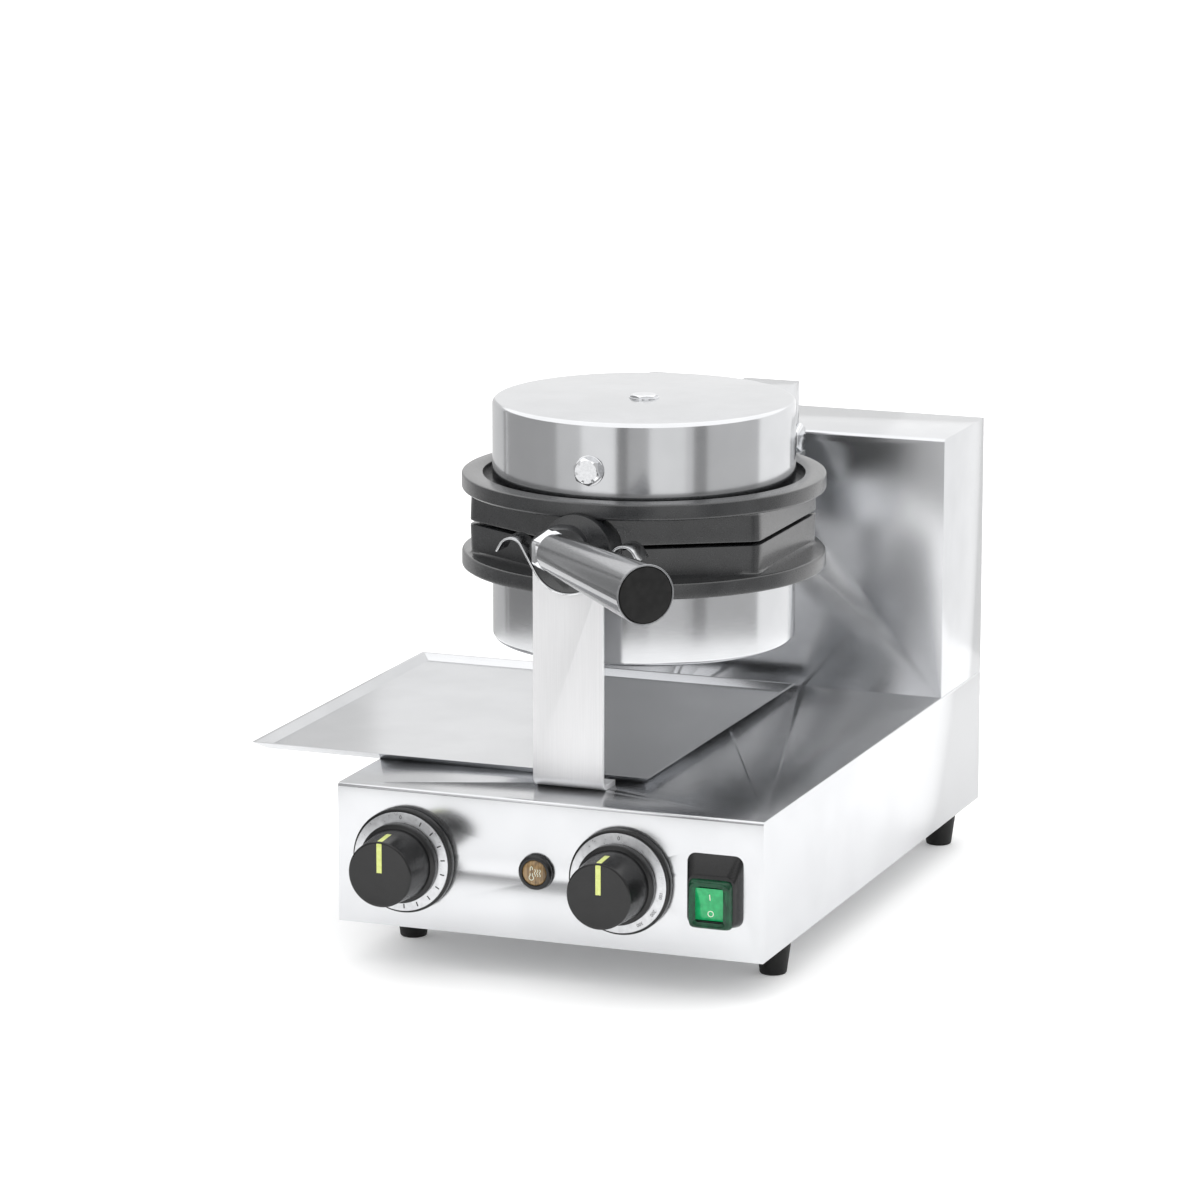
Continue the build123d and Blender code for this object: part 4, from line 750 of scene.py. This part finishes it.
class WAFFLE_OT_castings(bpy.types.Operator):
    """Casts the two plates: drafted hexagonal skirt, round flange and the bubble cavity"""

    bl_idname = "waffle.castings"
    bl_label = "Cast the plates"

    def execute(self, context):
        for node, place in halves("plate"):
            self.plate(node, place, context.scene.waffle_head)
        return {"FINISHED"}

    def plate(self, node, place, settings):
        """One casting: rows from the cavity's floor out over the skirt to the raised lip behind."""
        skirt = hexagon(SKIRT_R * MM, settings.corner)

        def row(radius, height):
            corner = hexagon(radius * MM, settings.corner)
            return lambda angle: (corner(angle), height * MM)

        def web(share, height):
            return lambda angle: (skirt(angle) * (1 - share) + FLANGE_R * MM * share, height * MM)

        rows = [row(*size) for size in CAVITY_WALL + SKIRT_WALL] + [web(*size) for size in SKIRT_TO_FLANGE]
        rim = arc((101.5, 19.0), 1.5, -70, 0, 4) + arc((102.0, 25.5), 1.0, 0, 90, 4)
        rows += in_metres([*rim, *RAISED_LIP])
        bm = turned(rows, CASTING_SIDES, closed=False)
        self.floor(bm, settings)
        bm.transform(place)
        bmesh.ops.recalc_face_normals(bm, faces=bm.faces)
        commit(node + "_casting", bm, node, coated_cast_aluminium, smooth=40)
        cup = self.cup(settings)
        cup.transform(Matrix.Diagonal((1, 1, place[2][2], 1)))
        bmesh.ops.recalc_face_normals(cup, faces=cup.faces)
        bmesh.ops.reverse_faces(cup, faces=cup.faces)
        points = [place @ Vector((x, y, CAVITY_FLOOR * MM)) for x, y in self.centres(settings)]
        scattered(node.replace("plate", "bubble_cups"), cup, points, node, coated_cast_aluminium, added=True)

    def centres(self, settings):
        """Cup centres, in columns that follow the hexagon."""
        step = settings.cup_pitch * math.sqrt(3) / 2
        for column in range(-3, 4):
            count = 7 - abs(column)
            for index in range(count):
                yield column * step, (index - (count - 1) / 2) * settings.cup_pitch

    def floor(self, bm, settings):
        """Cavity floor round the cups' mouths."""
        edges = [e for e in bm.edges if e.is_boundary]
        for x, y in self.centres(settings):
            rim = arc((x, y), settings.cup_radius, 0, 360, CUP_SIDES)[:-1]
            ring = [bm.verts.new((*point, CAVITY_FLOOR * MM)) for point in rim]
            edges += [bm.edges.new(pair) for pair in zip(ring, ring[1:] + ring[:1])]
        bmesh.ops.triangle_fill(bm, use_beauty=True, edges=edges)

    def cup(self, settings):
        """One bubble cup, from its eased mouth down to its round bottom."""
        radius, depth = settings.cup_radius, settings.cup_depth
        rows = [(radius, 0.0), (radius * 0.97, depth * 0.03), (radius * 0.94, depth * 0.09)]
        for turn in (10, 24, 38, 52, 66, 79):
            angle = math.radians(turn)
            rows.append((radius * 0.93 * math.cos(angle), depth * (0.1 + 0.9 * math.sin(angle))))
        return turned([*rows, (0, depth)], CUP_SIDES, closed=False)


class WAFFLE_OT_drums(bpy.types.Operator):
    """Draws the two drum covers and sets their hexagon bolts"""

    bl_idname = "waffle.drums"
    bl_label = "Draw the drums"

    def execute(self, context):
        edge = context.scene.waffle_head.drum_edge / MM
        inner = DRUM_R - DRUM_WALL
        roof = DRUM_END - DRUM_WALL
        for node, place in halves("cover"):
            profile = [(inner, DRUM_FOOT), (DRUM_R, DRUM_FOOT)]
            profile += [*arc((DRUM_R - edge, DRUM_END - edge), edge, 0, 90, 7), (0, DRUM_END), (0, roof)]
            profile += arc((inner - edge + 1, roof - edge + 1), edge - 1, 90, 0, 4)
            bm = turned(in_metres(profile), DRUM_SIDES, place)
            commit(node + "_drum", bm, node, drawn_stainless_drum, smooth=45)
            self.bolts(node + "_bolts", place)
        return {"FINISHED"}

    def bolts(self, node, place):
        """A low bolt in the drum's end and a full one in its front, each on a thin washer."""
        end = facing(place @ Vector((0, 0, DRUM_END * MM)), (0, 0, place[2][2]))
        front = facing(place @ Vector((0, -DRUM_R * MM, SIDE_BOLT_UP * MM)), (0, -1, 0), SIDE_BOLT_TURN)
        bm = hex_head(BOLT_FLATS, END_BOLT_TALL, end, washer=0.6)
        other = as_mesh("join", hex_head(BOLT_FLATS, SIDE_BOLT_TALL, front, washer=0.8))
        bm.from_mesh(other)
        bpy.data.meshes.remove(other)
        commit(node + "_heads", bm, node, bright_chrome, smooth=24)


def hex_head(flats, height, place, washer):
    """Hexagon head with its corners turned off at 30 degrees and a washer under it."""
    corner = hexagon(flats / math.sqrt(3) * MM, BOLT_SHARPNESS)
    slope = math.tan(math.radians(30))
    top = height * MM

    def edge(angle):
        return corner(angle), washer * MM

    def chamfer(angle):
        return corner(angle), top - max(0.0, corner(angle) - flats * 0.47 * MM) * slope

    rim = flats / 2 + 1.5
    rows = in_metres([(0, -0.1), (rim, -0.1), (rim, washer - 0.15), (rim - 0.15, washer)])
    rows += [edge, chamfer, *in_metres([(flats * 0.46, height), (flats * 0.3, height), (0, height)])]
    return turned(rows, HEX_SIDES, place, closed=False)


class WAFFLE_OT_handle(bpy.types.Operator):
    """Turns the polished handle with its inset cap and lock nut"""

    bl_idname = "waffle.handle"
    bl_label = "Turn the handle"

    def execute(self, context):
        settings = context.scene.waffle_handle
        low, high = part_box("handle_nut")
        way = Vector((math.sqrt(0.5), -math.sqrt(0.5), 0))
        start = (low + high) / 2 + way * NUT_LENGTH / 2 * MM
        place = facing(start, way)
        rim = settings.rim / MM
        tube = [(STUD_R, 0.0), (HANDLE_ROOT_R - 0.6, 0.0), (HANDLE_ROOT_R, 0.6)]
        tube += [(HANDLE_TIP_R - rim * 0.2, HANDLE_LENGTH - rim)]
        tube += arc((HANDLE_TIP_R - rim, HANDLE_LENGTH - rim), rim, 0, 180, 5)
        tube += TUBE_MOUTH
        parts = (
            ("handle_tube", "handle_tube_polished", tube, True, polished_steel_tube),
            ("handle_cap", "handle_cap_inset", CAP_SIDE + CAP_FACE, False, moulded_rubber),
        )
        for node, name, profile, closed, make in parts:
            commit(name, turned(in_metres(profile), settings.sides, place, closed), node, make)
        self.nut(start - way * NUT_LENGTH * MM, way)
        return {"FINISHED"}

    def nut(self, place, way):
        """Bright lock nut, turned off at both ends."""
        corner = hexagon(NUT_FLATS / math.sqrt(3) * MM, BOLT_SHARPNESS)

        def row(lift, radius):
            return lambda angle: (min(corner(angle), radius * MM), lift * MM)

        rows = [(STUD_R * MM, 0.0), row(0.0, 10.6), row(0.9, 12.2), row(6.1, 12.2), row(NUT_LENGTH, 10.6)]
        rows += [(STUD_R * MM, NUT_LENGTH * MM)]
        bm = turned(rows, HEX_SIDES, facing(place, way))
        commit("handle_nut_bright", bm, "handle_nut", bright_chrome, smooth=24)


class WAFFLE_OT_sheet_and_cast(bpy.types.Operator):
    """Eases the edges of the folded, cast and turned pieces"""

    bl_idname = "waffle.sheet_and_cast"
    bl_label = "Ease folded and cast edges"

    def execute(self, context):
        widths = {
            "base_housing": 0.35, "tower_cover": 0.45, "tower_back_panel": 0.2, "bottom_plate": 0.15,
            "front_post": 0.35, "saddle_spring": 0.2, "drip_tray": 0.18, "hinge_yoke": 0.5,
            "hinge_channel": 0.3, "upper_journal": 0.5, "lower_journal": 0.5, "axle_boss": 0.6,
            "cable_gland": 0.4, "gland_nut": 0.3, "feet": 0.9, "head_axle": 0.4,
            "timer_ring": 0.7, "thermostat_ring": 0.7, "timer_dial": 0.2, "thermostat_dial": 0.2,
            "timer_pointer": 0.15, "thermostat_pointer": 0.15,
            "switch_frame": 0.7, "rocker": 0.4, "pivot_bolts": 0.35, "pivot_nuts": 0.35, "lamp_body": 0.3,
        }
        makes = {"front_post": satin_stainless_strip, "tower_back_panel": brushed_stainless_sheet}
        for node, width in widths.items():
            eased(node, width, makes.get(node) or SLOT_FINISHES[SLOT_OF[node]])
        return {"FINISHED"}


class WAFFLE_OT_panel(bpy.types.Operator):
    """Prints the dials and finishes the lamp and the switch"""

    bl_idname = "waffle.panel"
    bl_label = "Finish the front panel"

    def execute(self, context):
        settings = context.scene.waffle_panel
        self.knob("timer_knob")
        self.knob("thermostat_knob")
        self.timer(settings)
        self.thermostat(settings)
        self.lamp()
        self.switch()
        return {"FINISHED"}

    def knob(self, node):
        """Black knob: rounded skirt, slightly tapered grip and a flat face with an eased rim."""
        centre, rise = foot_and_rise(node)
        rows = [(0, 0), (22.3, 0), (22.5, 0.3), *arc((21.7, 4.2), 0.8, 0, 75, 4), (20.6, 5.05), (20.15, 5.4)]
        rows += [(20.0, 6.2), *arc((17.35, rise - 1.25), 1.25, 4, 90, 5), (16.9, rise - 0.1), (0, rise - 0.1)]
        bm = turned(in_metres(rows), KNOB_SIDES, facing(centre, (0, -1, 0)), closed=False)
        commit(node + "_turned", bm, node, moulded_black_abs)

    def timer(self, settings):
        """Timer dial: a nought at the top and a mark for each step."""
        foot, rise = foot_and_rise("timer_dial")
        centre = foot - Vector((0, rise * MM, 0))
        mesh = repeated(
            tick_tree(), [(0, 0, 0)], Count=settings.tick_count, Radius=settings.mark_radius,
            First=settings.tick_first, Step=settings.tick_step, Length=settings.tick_length,
            Width=settings.tick_width, Height=0.1 * MM, Material=of_finish(black_dial_ink),
        )
        mesh.transform(Matrix.Translation(centre))
        commit("timer_dial_marks", mesh, "timer_dial", black_dial_ink, added=True)
        spot = centre + Vector((0, 0, settings.mark_radius))
        letters("timer_dial_nought", "0", settings.numeral, spot, "timer_dial", black_dial_ink)

    def thermostat(self, settings):
        """Thermostat dial: a nought at the top and round figures at the right."""
        foot, rise = foot_and_rise("thermostat_dial")
        centre = foot - Vector((0, rise * MM, 0))
        figures = (("0", 1.0, 1.0), ("100", 100.7, 0.88), ("200", 126.0, 0.88), ("300", 149.5, 0.88))
        for index, (text, turn, share) in enumerate(figures):
            angle = math.radians(turn)
            spot = centre + Vector((math.sin(angle), 0, math.cos(angle))) * settings.mark_radius
            name = "thermostat_dial_figure_%d" % index
            letters(name, text, settings.numeral * share, spot, "thermostat_dial", black_dial_ink, angle)

    def lamp(self):
        """Domed amber lens with a printed thermometer and heat marks on it."""
        centre, rise = foot_and_rise("lamp_lens")
        brim = rise - LENS_DOME
        profile = [(0, -0.6), (LENS_R, -0.6), (LENS_R, brim)]
        for turn in (15, 35, 55, 75):
            angle = math.radians(turn)
            profile.append((LENS_R * math.cos(angle), brim + LENS_DOME * math.sin(angle)))
        profile.append((0, rise))
        bm = turned(in_metres(profile), LENS_SIDES, facing(centre, (0, -1, 0)), closed=False)
        commit("lamp_lens_dome", bm, "lamp_lens", amber_polycarbonate)
        icon = bmesh.new()
        bulb = arc((-1.4, -2.5), 1.35, 60, -240, 15)
        stem = [(-0.75, -1.3), (-0.75, 3.2), (-1.4, 3.9), (-2.05, 3.2), (-2.05, -1.3)]
        lines = [(bulb, 0.34), (stem, 0.34)]
        for x in (0.8, 2.2, 3.6):
            lines.append(([(x + 0.35 * math.sin(k * 1.25), -1.6 + k * 0.5) for k in range(9)], 0.3))
        for points, width in lines:
            self.stroke(icon, points, width, centre, brim)
        commit("lamp_lens_print", icon, "lamp_lens", pale_print, added=True)

    def stroke(self, bm, points, width, centre, brim):
        """A printed line on the lens dome."""
        sides = []
        for index, (x, z) in enumerate(points):
            before = points[max(0, index - 1)]
            after = points[min(len(points) - 1, index + 1)]
            way = Vector((after[0] - before[0], after[1] - before[1])).normalized() * width / 2
            pair = []
            for px, pz in ((x - way.y, z + way.x), (x + way.y, z - way.x)):
                share = min(1.0, math.hypot(px, pz) / LENS_R)
                proud = brim + LENS_DOME * math.sqrt(1 - share**2) + 0.06
                pair.append(bm.verts.new(centre + Vector((px, -proud, pz)) * MM))
            sides.append(pair)
        for one, other in zip(sides, sides[1:]):
            face = bm.faces.new((one[0], one[1], other[1], other[0]))
            face.normal_update()
            if face.normal.y > 0:
                face.normal_flip()

    def switch(self):
        """Clear green splash boot over the lit rocker, and the figures on the rocker."""
        low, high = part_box("rocker")
        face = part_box("switch_frame")[0].y
        centre = Vector(((low.x + high.x) / 2, face, (low.z + high.z) / 2))
        rise = (face - low.y) / MM + 0.3
        # Height above the frame, half width, half height, and how square the corners are
        rows = [(-0.4, 12.6, 13.8, 0.22), (0.9, 12.4, 13.6, 0.22), (rise + 0.5, 11.7, 12.9, 0.25)]
        rows += [(rise + 1.0, 11.2, 12.4, 0.27), (rise + 1.0, 10.4, 11.6, 0.27), (rise + 0.6, 9.2, 10.6, 0.22)]
        rows += [(rise + 0.2, 8.2, 10.0, 0.16), (rise, 8.0, 9.8, 0.16), (-0.4, 9.8, 11.0, 0.16)]
        bm = bmesh.new()
        loops = []
        for lift, half_w, half_h, power in rows:
            loop = []
            for c, s in arc((0, 0), 1, 0, 360, BOOT_SIDES)[:-1]:
                x = math.copysign(abs(c) ** power, c) * half_w
                z = math.copysign(abs(s) ** power, s) * half_h
                loop.append(bm.verts.new(centre + Vector((x, -lift, z)) * MM))
            loops.append(loop)
        for one, other in zip(loops, loops[1:] + loops[:1]):
            for i in range(BOOT_SIDES):
                bm.faces.new((one[i - 1], one[i], other[i], other[i - 1]))
        bmesh.ops.recalc_face_normals(bm, faces=bm.faces)
        commit("switch_splash_boot", bm, "rocker", green_silicone_boot, added=True, body="base")
        # Each mark's height and depth from the rocker's middle and the frame's face, its lean and its size
        for name, up, back, lean, size in (("I", 3.9, -1.12, 14.0, 5.2), ("O", -5.6, 0.23, 0.0, 5.0)):
            spot = centre + Vector((0, back, up)) * MM
            lean = math.radians(lean)
            letters("rocker_mark_" + name, name, size * MM, spot, "rocker", pale_print, thick=0.12, lean=lean)


class WAFFLE_OT_screws(bpy.types.Operator):
    """Sets the cross recessed screws in the back panel, the feet, the bottom and the channel"""

    bl_idname = "waffle.screws"
    bl_label = "Set the screws"

    def execute(self, context):
        ways = {
            "back_panel_screws": (0, 1, 0),
            "bottom_screws": (0, 0, -1),
            "foot_screws": (0, 0, -1),
            "channel_screws": (0, 0, 1),
            "post_screws": (0, 0, 1),
            "bracket_screws": (0, 0, 1),
        }
        for node, way in ways.items():
            way = Vector(way)
            points = []
            for low, high in islands(node):
                length = abs((high - low).dot(way))
                points.append((low + high) / 2 + way * length / 2)
            bm = self.screw(length / MM)
            bm.transform(facing((0, 0, 0), way))
            scattered(node + "_set", bm, points, node, zinc_plated_steel)
        return {"FINISHED"}

    def screw(self, length):
        """Pan head screw with a cross recess, its top at the origin and its shank behind."""

        def cross(deep, lift):
            def at(angle):
                arm = abs(math.cos(2 * angle)) ** 6
                return (0.5 + 1.35 * arm) * deep * MM, lift * MM

            return at

        shank = [(2.0, 0.6 - length), (1.4, -length), (0, -length)]
        rows = [(0, -1.3 * MM), cross(0.6, -1.2), cross(1.0, -0.05), *in_metres((*SCREW_HEAD, *shank))]
        return turned(rows, SCREW_SIDES, closed=False)


class WAFFLE_OT_cad_pieces(bpy.types.Operator):
    """Gives every CAD piece the material of its slot"""

    bl_idname = "waffle.cad_pieces"
    bl_label = "Finish the CAD pieces"

    def execute(self, context):
        for name, node in frame["nodes"].items():
            node.data.materials.clear()
            node.data.materials.append(of_finish(SLOT_FINISHES[SLOT_OF[name]]))
        return {"FINISHED"}


class WAFFLE_OT_stage(bpy.types.Operator):
    """Sets up the floor, the soft studio light, the grey cards and the camera"""

    bl_idname = "waffle.stage"
    bl_label = "Set up the stage"

    def execute(self, context):
        scene = context.scene
        settings = scene.waffle_stage
        scene.view_settings.view_transform = "Standard"
        mesh = bpy.data.meshes.new("floor")
        wide = 30
        corners = [(-wide, -wide, 0), (wide, -wide, 0), (wide, wide, 0), (-wide, wide, 0)]
        mesh.from_pydata(corners, [], [(0, 1, 2, 3)])
        mesh.materials.append(of_finish(studio_paper))
        floor = in_scene("floor", mesh)
        self.world(scene)
        self.cards(settings)
        self.camera(scene, settings)
        return {"FINISHED"}

    def world(self, scene):
        """White for the camera; for light and reflections a soft studio: bright overhead, dim low in front."""
        world = bpy.data.worlds.new("studio")
        scene.world = world
        world.use_nodes = True
        tree = world.node_tree
        shader = tree.nodes["Background"]
        shader.inputs["Strength"].default_value = 1.5
        place = add(tree, "ShaderNodeTexCoord").outputs["Generated"]
        way = add(tree, "ShaderNodeSeparateXYZ", [("Vector", place)])
        ahead = add(tree, "ShaderNodeMapRange", [("Value", way.outputs["Y"])], From_Min=-1.0)
        stops = [(0.03, "4A4A4A"), (0.16, "BDBDBD"), (0.5, "C4C4C4"), (0.97, "D2D2D2")]
        round_about = add(tree, "ShaderNodeValToRGB", [("Fac", ahead)], stops=stops)
        level = add(tree, "ShaderNodeMapRange", [("Value", way.outputs["Z"])], From_Min=0.08, From_Max=0.4)
        sky = add(tree, "ShaderNodeMix", [("Factor", level), (MIX_A, round_about)], data_type="RGBA")
        sky.inputs[MIX_B].default_value = linear("FFFFFF")
        tree.links.new(sky.outputs[MIX_OUT], shader.inputs["Color"])
        seen = add(tree, "ShaderNodeLightPath").outputs["Is Camera Ray"]
        white = add(tree, "ShaderNodeBackground", Color=linear("FFFFFF"), Strength=1.0)
        mixed = add(tree, "ShaderNodeMixShader", [(0, seen), (1, shader), (2, white)])
        tree.links.new(mixed.outputs["Shader"], tree.nodes["World Output"].inputs["Surface"])

    def cards(self, settings):
        """Upright grey cards off camera, which the polished drums and the handle reflect as bands."""
        centre = middle("upper_cover", "lower_cover")
        for index, (start, end, upper, lower) in enumerate(CARDS):
            ways = [math.radians(start + (end - start) * k / CARD_STEPS) for k in range(CARD_STEPS + 1)]
            points = []
            for way in ways:
                across = centre.x + settings.card_distance * math.sin(way)
                points.append((across, centre.y - settings.card_distance * math.cos(way)))
            for (part, bottom, top), level in zip(CARD_ROWS, (lower, upper)):
                self.card("card_%s_%d" % (part, index), points, bottom, top, level)

    def card(self, name, points, bottom, top, level):
        """One upright card that only reflections see."""
        verts = [(x, y, z) for z in (bottom, top) for x, y in points]
        mesh = bpy.data.meshes.new(name)
        row = len(points)
        mesh.from_pydata(verts, [], [(k, k + 1, k + 1 + row, k + row) for k in range(row - 1)])
        material = bpy.data.materials.new("grey_card")
        material.use_nodes = True
        tree = material.node_tree
        tree.nodes.clear()
        glow = add(tree, "ShaderNodeEmission", Color=(level, level, level, 1.0), Strength=1.0)
        add(tree, "ShaderNodeOutputMaterial", [("Surface", glow)])
        mesh.materials.append(material)
        card = in_scene(name, mesh)
        for ray in ("camera", "diffuse", "shadow", "transmission"):
            setattr(card, "visible_" + ray, False)

    def camera(self, scene, settings):
        """The camera at the photograph's viewing angle."""
        data = bpy.data.cameras.new("camera")
        data.lens = settings.lens
        data.sensor_width = 36
        data.clip_end = 200
        camera = in_scene("camera", data)
        az, el = settings.azimuth, settings.elevation
        back = Vector((math.sin(az) * math.cos(el), -math.cos(az) * math.cos(el), math.sin(el)))
        camera.location = settings.camera_place
        camera.rotation_euler = (-back).to_track_quat("-Z", "Y").to_euler()
        scene.camera = camera


class WAFFLE_PT_pieces(bpy.types.Panel):
    """Lists the operators in the order they run"""

    bl_idname = "WAFFLE_PT_pieces"
    bl_label = "Bubble waffle maker"
    bl_space_type = "VIEW_3D"
    bl_region_type = "UI"
    bl_category = "Waffle maker"

    def draw(self, context):
        for operator in OPERATORS:
            self.layout.operator(operator.bl_idname)
        self.layout.prop(context.scene.waffle_stage, "lens")


SETTINGS = {
    "waffle_head": HeadSettings,
    "waffle_handle": HandleSettings,
    "waffle_panel": PanelSettings,
    "waffle_stage": StageSettings,
}
OPERATORS = [
    WAFFLE_OT_cad_pieces,
    WAFFLE_OT_castings,
    WAFFLE_OT_drums,
    WAFFLE_OT_handle,
    WAFFLE_OT_sheet_and_cast,
    WAFFLE_OT_panel,
    WAFFLE_OT_screws,
    WAFFLE_OT_stage,
]


def register():
    for group in SETTINGS.values():
        bpy.utils.register_class(group)
    for name, group in SETTINGS.items():
        setattr(bpy.types.Scene, name, PointerProperty(type=group))
    for item in (*OPERATORS, WAFFLE_PT_pieces):
        bpy.utils.register_class(item)


def unregister():
    for item in (WAFFLE_PT_pieces, *reversed(OPERATORS)):
        bpy.utils.unregister_class(item)
    for name in SETTINGS:
        delattr(bpy.types.Scene, name)
    for group in SETTINGS.values():
        bpy.utils.unregister_class(group)


def main():
    register()
    for operator in OPERATORS:
        group, name = operator.bl_idname.split(".")
        getattr(getattr(bpy.ops, group), name)()


if __name__ == "__main__":
    main()
